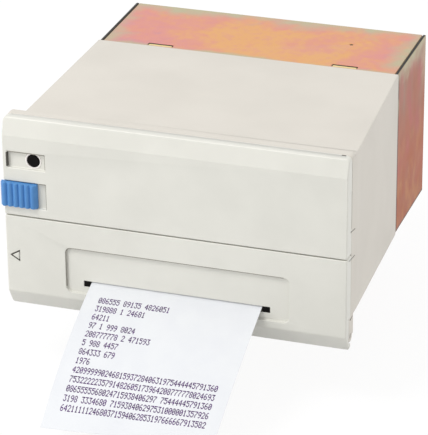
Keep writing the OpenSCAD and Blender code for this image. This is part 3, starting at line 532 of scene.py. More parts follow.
@dataclass(frozen=True)
class Chromate(Finish):
    """Rainbow zinc plating: slow clouds of pink, orange and gold, grey-green near bent edges, with
    painted shade along the side plates' edge faces and along the flanks' front edge and foot.

    Lengths are millimetres. A pair of lengths named a step is where a smooth step starts and ends.
    """

    reach: Triple = (52.3, 68.5, 105.4)
    floor: float = -1.45
    roof: float = 56.65
    warm: float = 12.0
    clouds: tuple = ((0.36, (204, 142, 148)), (0.45, (217, 144, 136)), (0.53, (220, 151, 124)),
                     (0.62, (224, 167, 104)), (0.72, (217, 149, 130)))
    heights: tuple = ((0.0, (164, 80, 28)), (0.16, (168, 80, 26)), (0.36, (170, 82, 34)),
                      (0.72, (164, 98, 72)), (1.0, (158, 118, 98)))
    fringe: Colour = (186, 178, 146)
    # Painted shade: near-black colour over the side plates' edge faces, for the shaded seam beside
    # the wrap.
    seam_shade: Colour = (18, 14, 12)
    # Painted shade: colour of the shaded gap along the flanks' front edge, next to the case, and
    # along their foot.
    gap: Colour = (84, 58, 48)
    gold: Colour = (190, 126, 54)
    rose: Colour = (180, 80, 80)
    warm_step: Pair = (60.0, 5.0)
    fringe_step: Pair = (-14.5, -4.0)
    fringe_fall: float = 22.0
    flank_step: Pair = (0.9, 0.4)
    front_shade_step: Pair = (71.0, 70.1)
    foot_shade_step: Pair = (1.1, 0.5)
    seam_shade_steps: tuple = ((1.05, 0.95), (0.08, 0.22))
    patch_step: Pair = (0.42, 0.7)

    @staticmethod
    def ramp(recipe: Recipe, value: Any, stops: Sequence) -> Socket:
        """Colour ramp of a value.

        Args:
            recipe: The material's nodes.
            value: Value from 0 to 1.
            stops: Place and colour of each stop.

        Returns:
            The colour.
        """
        node = recipe.add("ValToRGB", {0: value})
        for number, (stop, colour) in enumerate(stops):
            item = (node.color_ramp.elements[number] if number < 2
                    else node.color_ramp.elements.new(stop))
            item.position, item.color = stop, linear(colour)
        return node.outputs[0]

    @staticmethod
    def step(recipe: Recipe, value: Any, ends: Sequence[float], start: float = 0.0) -> Any:
        """Smooth step of a length between two ends in millimetres, counted from a start."""
        return recipe.spread(value, (start + ends[0]) * MM, (start + ends[1]) * MM)

    def top(self, recipe: Recipe, part: Any) -> Socket:
        """Clouds by three layers of noise, warmer about one place across the width.

        Args:
            recipe: The material's nodes.
            part: X, Y and Z of a place.

        Returns:
            Colour of the sheets that aren't flanks.
        """
        maths, noise = recipe.maths, recipe.noise
        cloud = maths("MULTIPLY_ADD", noise(15.0, 4.0, (1, 1, 0.6), 0.5), 0.35,
                      maths("MULTIPLY", noise(52.0, 2.0, (1, 1, 0.7), 0.4), 0.45))
        speck = maths("MULTIPLY_ADD", noise(2.4, 4.0), 0.2, cloud)
        off = maths("ABSOLUTE", maths("SUBTRACT", part[0], self.warm * MM))
        warmth = maths("MULTIPLY_ADD", self.step(recipe, off, self.warm_step), 0.12, -0.085)
        return self.ramp(recipe, maths("ADD", speck, warmth), self.clouds)

    def inner(self, recipe: Recipe, part: Any, wide: Any, side: Any) -> Socket:
        """Mask of what lies inside the fringe.

        The fringe follows the second smallest of the distances to the box's faces, which is the
        distance to the nearest bent edge. A flank has it near its upper edge only.

        Args:
            recipe: The material's nodes.
            part: X, Y and Z of a place.
            wide: Its distance from the nearer flank.
            side: Mask of the flanks.

        Returns:
            The mask.
        """
        maths = recipe.maths
        near = maths("SUBTRACT", part[1], self.reach[1] * MM)
        long = maths("MINIMUM", maths("MULTIPLY", near, 3.0),
                     maths("SUBTRACT", self.reach[2] * MM, part[1]))
        high = maths("MINIMUM", maths("SUBTRACT", part[2], self.floor * MM),
                     maths("SUBTRACT", self.roof * MM, part[2]))
        second = maths("MAXIMUM", maths("MINIMUM", wide, long),
                       maths("MINIMUM", maths("MAXIMUM", wide, long), high))
        patchy = maths("MULTIPLY_ADD", recipe.noise(5.0, 4.0), -0.008, second)
        ragged = maths("MULTIPLY_ADD", recipe.noise(20.0, 3.0), -0.018, patchy)
        upper = self.step(recipe, part[2], (-self.fringe_fall, 0.0), self.roof)
        bare = maths("MULTIPLY", side, maths("SUBTRACT", 1.0, upper))
        return maths("MAXIMUM", self.step(recipe, ragged, self.fringe_step), bare)

    def flank(self, recipe: Recipe, part: Any, side: Any) -> Socket:
        """Tones by height, shifted by streaks and blots, with gold patches low down and rose ones
        above; painted shade along the front edge, where the flank meets the case, and along the foot.

        Args:
            recipe: The material's nodes.
            part: X, Y and Z of a place.
            side: Mask of the flanks.

        Returns:
            Colour of the flanks.
        """
        maths, noise, spread = recipe.maths, recipe.noise, recipe.spread
        tall = maths("DIVIDE", maths("SUBTRACT", part[2], self.floor * MM),
                     (self.roof - self.floor) * MM)
        streak = maths("MULTIPLY_ADD", noise(6.0, 3.0, (1, 1, 0.12)), 0.9, -0.45)
        blot = maths("MULTIPLY_ADD", noise(12.0, 4.0), 1.1, streak)
        level = maths("ADD", tall, maths("SUBTRACT", blot, 0.57))
        colour = self.ramp(recipe, level, self.heights)
        for grain, patch, start, end in ((7.0, self.gold, 0.8, 0.25), (9.0, self.rose, 0.05, 0.5)):
            share = maths("MULTIPLY", spread(noise(grain, 4.0, (1, 1, 0.7)), *self.patch_step),
                          spread(tall, start, end))
            colour = recipe.mix(maths("MULTIPLY", share, 0.6), colour, linear(patch))
        # Painted shade: mask of the front edge and the foot of each flank.
        dark = maths("MAXIMUM", self.step(recipe, part[1], self.front_shade_step),
                     self.step(recipe, part[2], self.foot_shade_step, self.floor))
        share = maths("MULTIPLY", maths("MULTIPLY", side, dark), 0.8)
        return recipe.mix(share, colour, linear(self.gap))

    def colours(self, recipe: Recipe) -> Socket:
        """Clouds or flank tones inside the fringe, and painted shade: a near-black line over the side
        plates' edge faces, where the seam beside the wrap lies in shade.

        Args:
            recipe: The material's nodes.

        Returns:
            The colour.
        """
        part = recipe.add("SeparateXYZ", {0: recipe.place}).outputs
        wide = recipe.maths("SUBTRACT", self.reach[0] * MM, recipe.maths("ABSOLUTE", part[0]))
        side = self.step(recipe, wide, self.flank_step)
        body = recipe.mix(side, self.top(recipe, part), self.flank(recipe, part, side))
        plated = recipe.mix(self.inner(recipe, part, wide, side), linear(self.fringe), body)
        # Painted shade along the side plates' edge faces.
        seam_shade = recipe.maths("MULTIPLY", *(self.step(recipe, wide, ends) for ends in self.seam_shade_steps))
        return recipe.mix(seam_shade, plated, linear(self.seam_shade))


@dataclass(frozen=True)
class Wound(Finish):
    """Paper wound on a roll: fine rings about the spindle on its end faces."""

    centre: Pair = (44.0, 28.45)
    layer: float = 0.55

    def relief(self, recipe: Recipe) -> Socket:
        """Bump of rings: a wave over the distance from the spindle's axis.

        Args:
            recipe: The material's nodes.

        Returns:
            The normal.
        """
        place = recipe.add("Mapping", {"Vector": recipe.place, "Location":
                                       (0.0, -self.centre[0] * MM, -self.centre[1] * MM)})
        scale = 0.05 / (self.layer * MM)
        rings = recipe.add("TexWave", {"Vector": place.outputs[0], "Scale": scale, "Detail": 2.0,
                                       "Distortion": 0.6}, wave_type="RINGS", rings_direction="X")
        return recipe.bump(rings.outputs[1], 0.05, super().relief(recipe))


@dataclass(frozen=True)
class Tracks(Finish):
    """Lacquered board: copper tracks as the joints of a brick pattern under green lacquer."""

    copper: Colour = (92, 150, 84)

    def colours(self, recipe: Recipe) -> Socket:
        """Green lacquer, lighter where a track lies under it.

        Args:
            recipe: The material's nodes.

        Returns:
            The colour.
        """
        bricks = [recipe.add("TexBrick", {"Vector": recipe.place, "Scale": scale,
                                          "Mortar Size": 0.012, "Brick Width": wide},
                             offset=offset) for scale, wide, offset in
                  ((130.0, 0.9, 0.37), (210.0, 0.4, 0.61))]
        track = recipe.maths("MAXIMUM", bricks[0].outputs[1], bricks[1].outputs[1])
        return recipe.mix(track, super().colours(recipe), linear(self.copper))


@dataclass(frozen=True)
class Woven(Finish):
    """Inked cloth tape: two crossed waves of threads."""

    thread: float = 0.22

    def relief(self, recipe: Recipe) -> Socket:
        """Bump of the weave: the higher of a wave along X and one along Z.

        Args:
            recipe: The material's nodes.

        Returns:
            The normal.
        """
        scale = 0.05 / (self.thread * MM)
        waves = [recipe.add("TexWave", {"Vector": recipe.place, "Scale": scale},
                            bands_direction=way).outputs[1] for way in ("X", "Z")]
        return recipe.bump(recipe.maths("MAXIMUM", *waves), 0.03)


COVER = Finish("cover_moulding", "cover_plastic", (223, 222, 214), (218, 217, 209),
               (238, 238, 232), roughness=0.33, swing=0.08, depth=0.010)
CASE = Finish("case_moulding", "case_plastic", (217, 212, 203), (212, 207, 198), (228, 225, 217),
              blotch=30.0, roughness=0.52, depth=0.012)
ZINC = Chromate("rainbow_zinc", "zinc_sheet", (226, 160, 140), (226, 160, 140), (214, 196, 150),
                roughness=0.4, swing=0.16, grain=1.2, depth=0.010, metallic=0.22, specular=0.22,
                wear=0.7)
YELLOW_ZINC = Finish("yellow_zinc", "steel", (244, 226, 164), (236, 212, 144), (250, 236, 190),
                     blotch=5.0, roughness=0.4, metallic=0.3)
# Painted highlight: a lighter copy of the cover moulding, for the lit rim round the button.
LIT_COLLAR = Finish("collar_painted_highlight", "cover_plastic", (247, 242, 238), (243, 238, 234),
                (250, 247, 244), roughness=0.3, swing=0.08, depth=0.006)
# Painted shade: grey of the dark lines along the walls and upper edges of the front's recesses.
PAINTED_SHADE = Finish("painted_gap_shade", "cover_plastic", (146, 142, 132), (138, 134, 124), (170, 166, 156),
               blotch=3.0, roughness=0.6, grain=0.1, depth=0.002, wear=0.1)
# Grey paint of the arrow and dark fillings of the slanting marks, also painted shade for the plate in
# the button's recess, the notch and the clamp slots' walls.
GREY_PAINT_AND_SHADE = Finish("grey_paint_and_painted_shade", "cover_plastic", (72, 69, 62), (60, 58, 52), (110, 106, 98),
                    blotch=1.5, roughness=0.6, grain=0.1, depth=0.002, wear=0.1)
STEEL = Finish("plated_steel", "steel", (196, 198, 202), (180, 183, 188), (224, 226, 228),
               blotch=12.0, roughness=0.38, grain=0.6, depth=0.008, metallic=0.9)
GROUND = Finish("ground_bar", "ground_steel", (208, 210, 213), (196, 198, 202), (232, 233, 235),
                blotch=6.0, roughness=0.24, swing=0.1, grain=0.2, stretch=(6.0, 1.0, 1.0),
                depth=0.003, metallic=1.0)
BRASS = Finish("turned_brass", "brass", (206, 172, 98), (190, 156, 84), (230, 204, 140),
               blotch=4.0, roughness=0.32, grain=0.25, depth=0.004, metallic=0.95)
BOARD = Tracks("lacquered_board", "circuit_board", (38, 104, 62), (30, 90, 54), (150, 160, 90),
               blotch=9.0, roughness=0.34, grain=0.5, depth=0.006, coat=0.3)
DARK = Finish("moulded_dark", "dark_plastic", (44, 44, 47), (37, 37, 40), (92, 92, 94),
              blotch=8.0, roughness=0.5, depth=0.014)
KEY = Finish("key_plastic", "button_plastic", (15, 12, 11), (11, 10, 10), (50, 46, 42),
             blotch=2.0, roughness=0.42, specular=0.08, wear=0.1, swing=0.08, grain=0.2,
             depth=0.003)
RESIN = Finish("moulded_resin", "chip_resin", (48, 47, 50), (40, 40, 42), (88, 88, 90),
               blotch=5.0, roughness=0.62, grain=0.15, depth=0.010)
SLEEVE = Finish("printed_sleeve", "can_sleeve", (36, 48, 96), (30, 40, 84), (92, 104, 150),
                blotch=4.0, roughness=0.3, grain=0.4, depth=0.004, coat=0.25)
BLUE = Finish("slider_blue", "blue_plastic", (84, 142, 202), (78, 134, 194), (126, 174, 222),
              blotch=5.0, roughness=0.42, grain=0.25, depth=0.005, specular=0.35, wear=0.3)
RUBBER = Finish("roller_rubber", "rubber", (58, 57, 58), (48, 47, 49), (96, 95, 95),
                blotch=7.0, roughness=0.78, swing=0.1, grain=0.3, depth=0.02)
NYLON = Finish("gear_nylon", "gear_plastic", (234, 231, 214), (226, 222, 203), (246, 244, 232),
               blotch=4.0, roughness=0.44, grain=0.3, depth=0.006)
PAPER = Finish("paper_sheet", "paper", (227, 229, 232), (224, 226, 230), (234, 236, 238),
               blotch=9.0, roughness=0.82, swing=0.1, grain=0.16, depth=0.004, specular=0.2)
ROLL = Wound("paper_layers", "paper", (240, 241, 243), (232, 232, 232), (248, 248, 248),
             blotch=6.0, roughness=0.85, grain=0.16, depth=0.004, specular=0.2)
CARD = Finish("grey_card", "card", (188, 160, 122), (174, 146, 108), (206, 182, 146),
              blotch=3.0, roughness=0.9, grain=0.3, stretch=(0.3, 1.0, 1.0), depth=0.02,
              specular=0.2)
TAPE = Woven("inked_tape", "ink_ribbon", (62, 34, 86), (48, 26, 70), (90, 62, 116),
             blotch=5.0, roughness=0.8, specular=0.2)
INK = Finish("ribbon_ink", "ink_ribbon", (84, 34, 112), (58, 26, 80), (100, 56, 120),
             blotch=1.6, roughness=0.7, grain=0.1, depth=0.002, specular=0.2)
SOCKET = Finish("pale_socket", "socket_plastic", (228, 226, 214), (220, 217, 204),
                (240, 239, 230), blotch=6.0, roughness=0.5, grain=0.3, depth=0.008)


# ---------------------------------------------------------------- pieces


def placed(name: str, data: Any) -> bpy.types.Object:
    """Object of a mesh, light or camera, linked into the scene.

    Args:
        name: Name of the object.
        data: Its data.

    Returns:
        The object.
    """
    item = bpy.data.objects.new(name, data)
    bpy.context.scene.collection.objects.link(item)
    return item


@dataclass
class Assembly:
    """A group of pieces that belong together."""

    title: str = "assembly"

    def piece(self, name: str, skin: Skin, finish: Finish, body: str,
              replaces: Sequence[str] = (), smooth: float = 35.0) -> bpy.types.Object:
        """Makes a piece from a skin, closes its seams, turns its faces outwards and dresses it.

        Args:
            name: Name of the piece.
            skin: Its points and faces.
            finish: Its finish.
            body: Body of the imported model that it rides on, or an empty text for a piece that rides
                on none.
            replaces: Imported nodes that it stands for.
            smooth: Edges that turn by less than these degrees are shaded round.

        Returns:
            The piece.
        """
        mesh = skin.mesh(name)
        solid = bmesh.new()
        solid.from_mesh(mesh)
        bmesh.ops.remove_doubles(solid, verts=solid.verts, dist=1e-7)
        bmesh.ops.recalc_face_normals(solid, faces=solid.faces)
        solid.to_mesh(mesh)
        solid.free()
        mesh.shade_smooth()
        mesh.set_sharp_from_angle(angle=math.radians(smooth))
        return self.settle(placed(name, mesh), finish, body, replaces)

    def settle(self, item: bpy.types.Object, finish: Finish, body: str,
               replaces: Sequence[str]) -> bpy.types.Object:
        """Gives a piece its finish, its body and the nodes that it stands for, and reports it.

        Args:
            item: The piece.
            finish: Its finish.
            body: Its body, or an empty text.
            replaces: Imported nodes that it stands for.

        Returns:
            The piece.
        """
        item.data.materials.clear()
        item.data.materials.append(finish.material())
        if body:
            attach(item, body)
        if replaces:
            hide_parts(*replaces)
        LOG.info("%s: %s, %d points", self.title, item.name, len(item.data.vertices))
        return item

    @staticmethod
    def share(edge: Any, sharp: set, width: float) -> float:
        """Share of a rounding's width for which the sharp neighbours of an edge leave room.

        Args:
            edge: The edge.
            sharp: All edges that are rounded.
            width: The full width in millimetres.

        Returns:
            A share from 0 to 1.
        """
        room = width * MM / ROOM_SHARE
        way = (edge.verts[1].co - edge.verts[0].co).normalized()
        for other in (link for corner in edge.verts for link in corner.link_edges):
            lean = other.verts[1].co - other.verts[0].co
            if other is not edge and other in sharp and abs(way.dot(lean.normalized())) < IN_LINE:
                room = min(room, lean.length)
        return ROOM_SHARE * room / (width * MM)

    def eased(self, node: str, finish: Finish, width: float, turn: float = 25.0,
              detail: float = 1.0, spare: Sequence = (), near: Callable = all) -> bpy.types.Object:
        """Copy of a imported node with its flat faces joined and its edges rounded.

        An edge is rounded by the width, or by less where a neighbouring edge leaves less room.

        Args:
            node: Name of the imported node, which the copy replaces.
            finish: Finish of the copy.
            width: Width of the rounding in millimetres.
            turn: Edges that turn by more than these degrees are rounded.
            detail: Share of the width for edges that don't reach the node's left or right side.
            spare: Lowest and highest corners of boxes in which edges stay as they are.
            near: Whether all or any of an edge's ends lie in such a box.

        Returns:
            The piece.
        """
        low, high = (corner.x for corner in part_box(node))
        boxes = [(np.array(a) * MM, np.array(b) * MM) for a, b in spare]
        mesh = frame["nodes"][node].data.copy()
        solid = bmesh.new()
        solid.from_mesh(mesh)
        bmesh.ops.remove_doubles(solid, verts=solid.verts, dist=2e-6)
        bmesh.ops.dissolve_limit(solid, angle_limit=math.radians(FLAT_TURN), verts=solid.verts,
                                 edges=solid.edges)
        weight = solid.edges.layers.float.new("bevel_weight_edge")
        sharp = {edge for edge in solid.edges if len(edge.link_faces) == 2
                 and edge.calc_face_angle(0.0) > math.radians(turn)}
        for edge in sharp:
            corners = [np.array(corner.co) for corner in edge.verts]
            ends = [corner[0] for corner in corners]
            own = 1.0 if min(ends) < low + END * MM or max(ends) > high - END * MM else detail
            share = min(own, self.share(edge, sharp, width))
            if near(any((a <= corner).all() and (corner <= b).all() for a, b in boxes)
                    for corner in corners):
                share = 0.0
            edge[weight] = share if share > LEAST_SHARE else 0.0
        solid.to_mesh(mesh)
        solid.free()
        mesh.shade_smooth()
        mesh.set_sharp_from_angle(angle=math.radians(32))
        item = placed(node + "_piece", mesh)
        soften = item.modifiers.new("eased_edges", "BEVEL")
        soften.limit_method, soften.width, soften.segments = "WEIGHT", width * MM, 3
        soften.use_clamp_overlap, soften.harden_normals = False, True
        return self.settle(item, finish, BODY_OF[node], (node,))

    def eased_all(self, *rows: tuple[str, Finish, float]) -> None:
        """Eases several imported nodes, each given by its name, finish and width."""
        for node, finish, width in rows:
            self.eased(node, finish, width)

    def screws(self, node: str, axis: Axis, finish: Finish, head: float = 0.75,
               flip: bool = False) -> bpy.types.Object:
        """Pan head screws with cross recesses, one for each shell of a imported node.

        The head's height over its seat is h (1 - 0.4 t^4) at t of its radius, less the cross.

        Args:
            node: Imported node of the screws.
            axis: Direction from the point to the head.
            finish: Finish of the screws.
            head: Height of the head in millimetres.
            flip: True if every second shell, from the lowest, has its head downwards.

        Returns:
            The piece.
        """
        number, bounds = axis.value, shells(node)
        middle = np.mean([low[number] + high[number] for low, high in bounds])
        t = np.array(HEAD_RINGS)[:, None]
        x, y = t * np.cos(around(48)), t * np.sin(around(48))
        dome = head * (1 - 0.4 * t ** 4) * np.ones_like(x)
        dome[0] = 0
        arm = np.clip((0.2 - np.minimum(abs(x), abs(y))) / 0.08, 0, 1)
        cross = arm * np.clip((0.58 - np.maximum(abs(x), abs(y))) / 0.1, 0, 1)
        skins = []
        for low, high in bounds:
            down = flip and low[number] + high[number] < middle
            radius, length = (high - low)[number - 1] / 2, (high - low)[number]
            centre = (low + high) / 2
            centre[number] = high[number] if down else low[number]
            h = np.linspace(0, length - head, 2 * max(4, int((length - head) / 0.25)) + 1)
            ridge = 0.42 * radius * np.where(np.arange(len(h)) % 2, 0.84, 1.0)
            ridge[0] = 0.4 * 0.42 * radius
            shank = turned([(0, 0), *zip(ridge, h), (radius * 0.99, length - head)], 24)
            cap = capped(laid(x * radius, y * radius, length - head + dome - 0.6 * head * cross))
            skins.append((shank + cap).at(Axis.DOWN if down else axis, centre))
        return self.piece(node + "_piece", joined(skins), finish, BODY_OF[node], (node,), 50.0)

    def spring(self, name: str, node: str, axis: Axis, wire: float, turns: float, joint: str,
               travel: float) -> None:
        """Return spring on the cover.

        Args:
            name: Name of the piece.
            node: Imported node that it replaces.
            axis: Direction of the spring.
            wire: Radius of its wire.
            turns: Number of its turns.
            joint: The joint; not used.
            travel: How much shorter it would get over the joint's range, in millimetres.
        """
        low, size, middle = first_shell(node)
        number = axis.value
        place, length = np.where(np.arange(3) == number, low, middle), size[number]
        skin = coil(size[1 - number] / 2 - wire, wire, length, turns).at(axis, place)
        item = self.piece(name, skin, STEEL, "front_cover", (node,), 60.0)
        tuple((low + size) * MM)
        1 - travel / length
        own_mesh(item)


@dataclass
class CoverMouldings(Assembly):
    """The hinged front: two mouldings, the plate that joins them and the collar of the button."""

    title: str = "cover"
    rounding: float = 0.5
    button: Triple = (-46.85, -7.2, 45.25)
    collar_radius: float = 2.5
    collar_wire: float = 0.28
    arrow: Triple = (-56.0, -8.08, 11.25)

    @staticmethod
    def ear(side: int, front: float, low: float, high: float) -> tuple:
        """Corners of the room round a hinge ear, the left one for side -1, the right one for 1."""
        left, right = sorted((side * 43.0, side * 57.3))
        return (left, front, low), (right, 0.0, high)

    @staticmethod
    def marks(front: float, rear: float) -> Skin:
        """Dark fillings of the slanting marks in the right side, between two depths.

        A mark is a tube along a line whose height falls evenly with its depth.

        Args:
            front: Depth of the front ends, never less than where the mark itself begins.
            rear: Depth of the rear ends.

        Returns:
            The fillings, with that of the short mark on the flange's ear if the rear is behind it.
        """
        found = []
        for start, height, fall in ((-4.4, 33.5, 0.182), (-5.9, 24.2, 0.13)):
            y = np.linspace(max(front, start), rear, 5)
            found.append(swept(laid(56.93, y, height - fall * (y - start)), (1, 0, 0), 0.17))
        if rear > 0:
            y = np.linspace(-4.0, -1.4, 5)
            found.append(swept(laid(57.07, y, 3.05 + 0.2 * (y + 1.4)), (1, 0, 0), 0.16))
        return joined(found)

    def inlays(self) -> None:
        """Grey paint in the engraved triangle, and painted shade: a dark plate at the left end of the
        button's recess, a dark block in the notch, dark plugs at the ends of the paper slot and dark
        lines along recess walls.

        The paint is a ring of two triangles, carried through its thickness. The painted shade lines
        are tubes: the window's runs up its left wall, round the corner in a quarter circle and along
        its upper edge.
        """
        outer = np.array([(0.04, 0.0), (3.46, -2.07), (3.46, 2.07)])
        inner = np.array([(1.0, 0.0), (3.44, -1.4), (3.44, 1.4)])
        loops = np.stack([outer, inner, inner, outer])
        deep = np.array([0.0, 0.0, 0.25, 0.25])[:, None]
        grid = laid(loops[..., 0], deep, loops[..., 1]) + np.array(self.arrow)
        self.piece("arrow_paint", looped(grid), GREY_PAINT_AND_SHADE, "front_cover")
        # Painted shade: a dark plate at the left end of the button's recess, where its left wall lies
        # in shade.
        recess_shade_plate = soft_box((-55.95, -8.22, 42.7), (-55.35, -7.1, 47.6), 0.06)
        # Painted shade: a dark block filling the notch in the upper cover.
        notch_shade_block = soft_box((53.8, -4.08, 58.2), (55.2, -3.42, 59.1), 0.05)
        self.piece("painted_shade_and_mark_fills", recess_shade_plate + notch_shade_block + self.marks(-9.0, -3.45), GREY_PAINT_AND_SHADE, "front_cover")
        self.piece("flange_inlays", self.marks(-3.15, 0.85), GREY_PAINT_AND_SHADE, "case")
        # Painted shade: black blocks in the ends of the paper slot beside the paper, in the button's
        # finish.
        ends = [soft_box((x0, -7.0, 2.9), (x1, -5.6, 4.9), 0.05)
                for x0, x1 in ((-30.95, -28.7), (29.3, 31.75))]
        self.piece("slot_end_shade", joined(ends), KEY, "front_cover")
        # Painted shade: tubes along the window's left wall and upper edge, and along the upper and
        # right edges of the button's and the slider's recesses.
        turn = np.radians(np.linspace(180, 90, 9))
        window = np.concatenate([
            laid(-36.75, -7.8, np.linspace(2.6, 14.3, 12)),
            laid(-34.8 + 1.95 * np.cos(turn), np.linspace(-7.8, -7.98, 9),
                 14.55 + 1.93 * np.sin(turn)),
            laid(np.linspace(-34.5, 36.5, 24), -7.98, 16.48)])
        lines = [(window, 0.2)]
        for x0, x1, z0, z1 in ((-55.1, -42.75, 43.0, 47.88), (-45.0, -42.7, 29.0, 37.63)):
            lines.append((laid(np.linspace(x0, x1, 16), -8.0, z1), 0.14))
            lines.append((laid(x1 + 0.05, -8.08, np.linspace(z1, z0, 8) - 0.1), 0.09))
        self.piece("painted_shade_lines", joined([swept(path, (0, -1, 0), r) for path, r in lines]), PAINTED_SHADE,
                   "front_cover")

    def build(self) -> None:
        """Builds the mouldings, the collar and the screws."""
        self.eased("upper_cover", COVER, self.rounding, detail=0.3,
                   spare=(((53.5, -4.3, 58.0), (55.5, -3.3, 59.3)),), near=any)
        self.eased("lower_cover", COVER, self.rounding, detail=0.3, spare=[
            box for side in (-1, 1) for box in (self.ear(side, -6.3, -7.9, 4.0),
                                                self.ear(side, -3.9, -8.2, -7.8))])
        self.eased("joining_plate", STEEL, 0.15)
        self.screws("cover_screws", Axis.REAR, STEEL, 0.7)
        turn, ring = around(64)[:, None], around(8)
        out = self.collar_radius + self.collar_wire * np.cos(ring)
        collar = looped(laid(out * np.cos(turn), out * np.sin(turn),
                             -self.collar_wire * np.sin(ring)))
        # The collar carries the painted highlight round the button.
        self.piece("button_collar", collar.at(Axis.REAR, self.button), LIT_COLLAR, "front_cover")
        self.inlays()


@dataclass
class LatchSlider(Assembly):
    """The blue ribbed slider, its hook and its return spring."""

    title: str = "latch"
    left: float = -58.0
    width: float = 12.4
    low: float = 29.05
    high: float = 37.45
    floor: float = -7.35
    crest: float = -9.7
    rib_depth: float = 0.75
    ribs: int = 6
    stem: tuple = ((-54.0, -7.45, 31.65), (-50.0, -6.1, 34.85))

    def grip(self) -> Skin:
        """Outline of the grip: a back line, and a front that is a row of |sin| crests, carried up.

        Returns:
            The closed skin.
        """
        x = np.linspace(0, self.width, 121)
        lip = 0.35
        across = np.clip((x - lip) / (self.width - 2 * lip), 0, 1)
        wave = np.abs(np.sin(np.pi * self.ribs * across)) ** 0.8
        shoulder = 1 - np.clip(np.minimum(x, self.width - x) / 0.5, 0, 1)
        front = self.crest + self.rib_depth * (1 - wave) + 0.5 * shoulder ** 2
        line = np.stack([x + self.left, front], -1)
        back = np.array([[self.left + self.width, self.floor], [self.left, self.floor]])
        outline = np.concatenate([line, back])
        turn = np.linspace(0, np.pi / 2, 5)
        ends = 0.4 * (1 - np.sin(turn))
        rise = 0.4 * (1 - np.cos(turn))
        stations = [(self.low + r, e) for r, e in zip(rise, ends)]
        stations += [(self.high - r, e) for r, e in zip(rise[::-1], ends[::-1])]
        return carried(outline, stations)

    def build(self) -> None:
        """Builds the slider, the hook and the spring."""
        skin = self.grip() + soft_box(*self.stem, 0.12)
        self.piece("latch_slider", skin, BLUE, "latch", ("latch_knob",), 60.0)
        self.eased("latch_hook", DARK, 0.15)
        self.spring("latch_coil", "latch_spring", Axis.RIGHT, 0.14, 7, "latch_slide", 2.5)


@dataclass
class FeedButton(Assembly):
    """The round feed button with its spring, switch and small board."""

    title: str = "button"
    x: float = -46.85
    z: float = 45.25
    radius: float = 2.15

    def build(self) -> None:
        """Builds the button as a turned crown with a dished middle, then the parts behind it."""
        low, size, _ = first_shell("feed_button")
        r, face = self.radius, size[1]
        profile = [(0, 0), (0.98, 0), (1, 0.1), (1, face - 2.24), (r + 0.75, face - 2.2),
                   (r + 0.75, face - 1.42), (r, face - 1.4), (r, face - 0.42),
                   (r - 0.08, face - 0.2), (r - 0.3, face - 0.05), (r - 0.6, face),
                   (r - 1.0, face - 0.06), (r - 1.5, face - 0.14), (0, face - 0.18)]
        skin = turned(profile, 56)
        x, y, z = skin.points.T
        skin.points = laid(x + self.x, low[1] + face - z, y + self.z)
        self.piece("feed_key", skin, KEY, "feed_key", ("feed_button",), 40.0)
        self.spring("button_coil", "button_spring", Axis.REAR, 0.16, 4, "feed_button_press", 0.8)
        self.eased_all(("feed_switch", DARK, 0.2), ("panel_board", BOARD, 0.1))


@dataclass
class CaseMoulding(Assembly):
    """The moulded case and its hinge pins."""

    title: str = "case"
    rounding: float = 0.45

    def build(self) -> None:
        """Builds the shell and the pins."""
        spare = [((low, 57.0, -3.0), (high, 70.0, 58.0)) for low, high in ((-56, -44), (44, 56))]
        spare.append(((55.5, -0.1, 57.5), (57.3, 0.1, 59.3)))
        self.eased("case_shell", CASE, self.rounding, detail=0.4, spare=spare)
        self.eased("hinge_pins", GROUND, 0.2)


@dataclass
class RearBox(Assembly):
    """The plated sheet metal box with its clamp slots, clips and screws."""

    title: str = "rear box"
    slots: Pair = (-31.2, 33.5)
    clip_z: Pair = (-1.1, 56.3)
    clip_y: Pair = (69.66, 70.85)
    dimple: Triple = (30.4, 89.8, 56.12)

    def build(self) -> None:
        """Builds the sheets, the spring clips under the slots and the screws."""
        self.eased_all(("rear_wrap", ZINC, 0.35), ("side_plate_left", ZINC, 0.2),
                       ("side_plate_right", ZINC, 0.2), ("bulkhead", STEEL, 0.15))
        clips = [soft_box((x - 4.1, self.clip_y[0], z - 0.2), (x + 4.1, self.clip_y[1], z + 0.2),
                          0.12) for x in self.slots for z in self.clip_z]
        self.piece("clamp_clips", joined(clips), YELLOW_ZINC, "case")
        # Painted shade: thin dark plates on the rear and left walls of each clamp slot in the top and
        # bottom sheets, where the walls lie in shade.
        slot_wall_shade = [soft_box((x - 4.33, y0, z0), (x + x1, 71.38, z1), 0.03) for x in self.slots
                for z0, z1 in ((-1.42, -0.5), (55.7, 56.62))
                for x1, y0 in ((4.33, 71.22), (-4.16, 69.63))]
        self.piece("clamp_slot_wall_shade", joined(slot_wall_shade), GREY_PAINT_AND_SHADE, "case")
        # Painted shade: a dark disc in the dimple of the top sheet, for the shade in its hollow.
        mark = turned([(0, 0), (0.5, 0), (0.55, 0.1), (0.5, 0.3), (0.3, 0.36), (0, 0.36)], 24)
        self.piece("dimple_shade", mark.at(Axis.UP, self.dimple), DARK, "case")
        self.screws("bulkhead_screws", Axis.REAR, STEEL, 0.8)
        self.screws("rear_screws", Axis.REAR, STEEL, 1.0)


@dataclass
class Paper(Assembly):
    """What the sheet and the roll share: the paper's place and the feed roller it runs over."""

    title: str = "paper"
    centre: float = 0.3
    width: float = 57.5
    thick: float = 0.1
    roller: Pair = (12.0, 38.95)
    roller_r: float = 4.05
    lift: float = 105.36

    def across(self, share: Array) -> Array:
        """Places across the width, by the share of it from the left edge."""
        return self.centre + (share - 0.5) * self.width


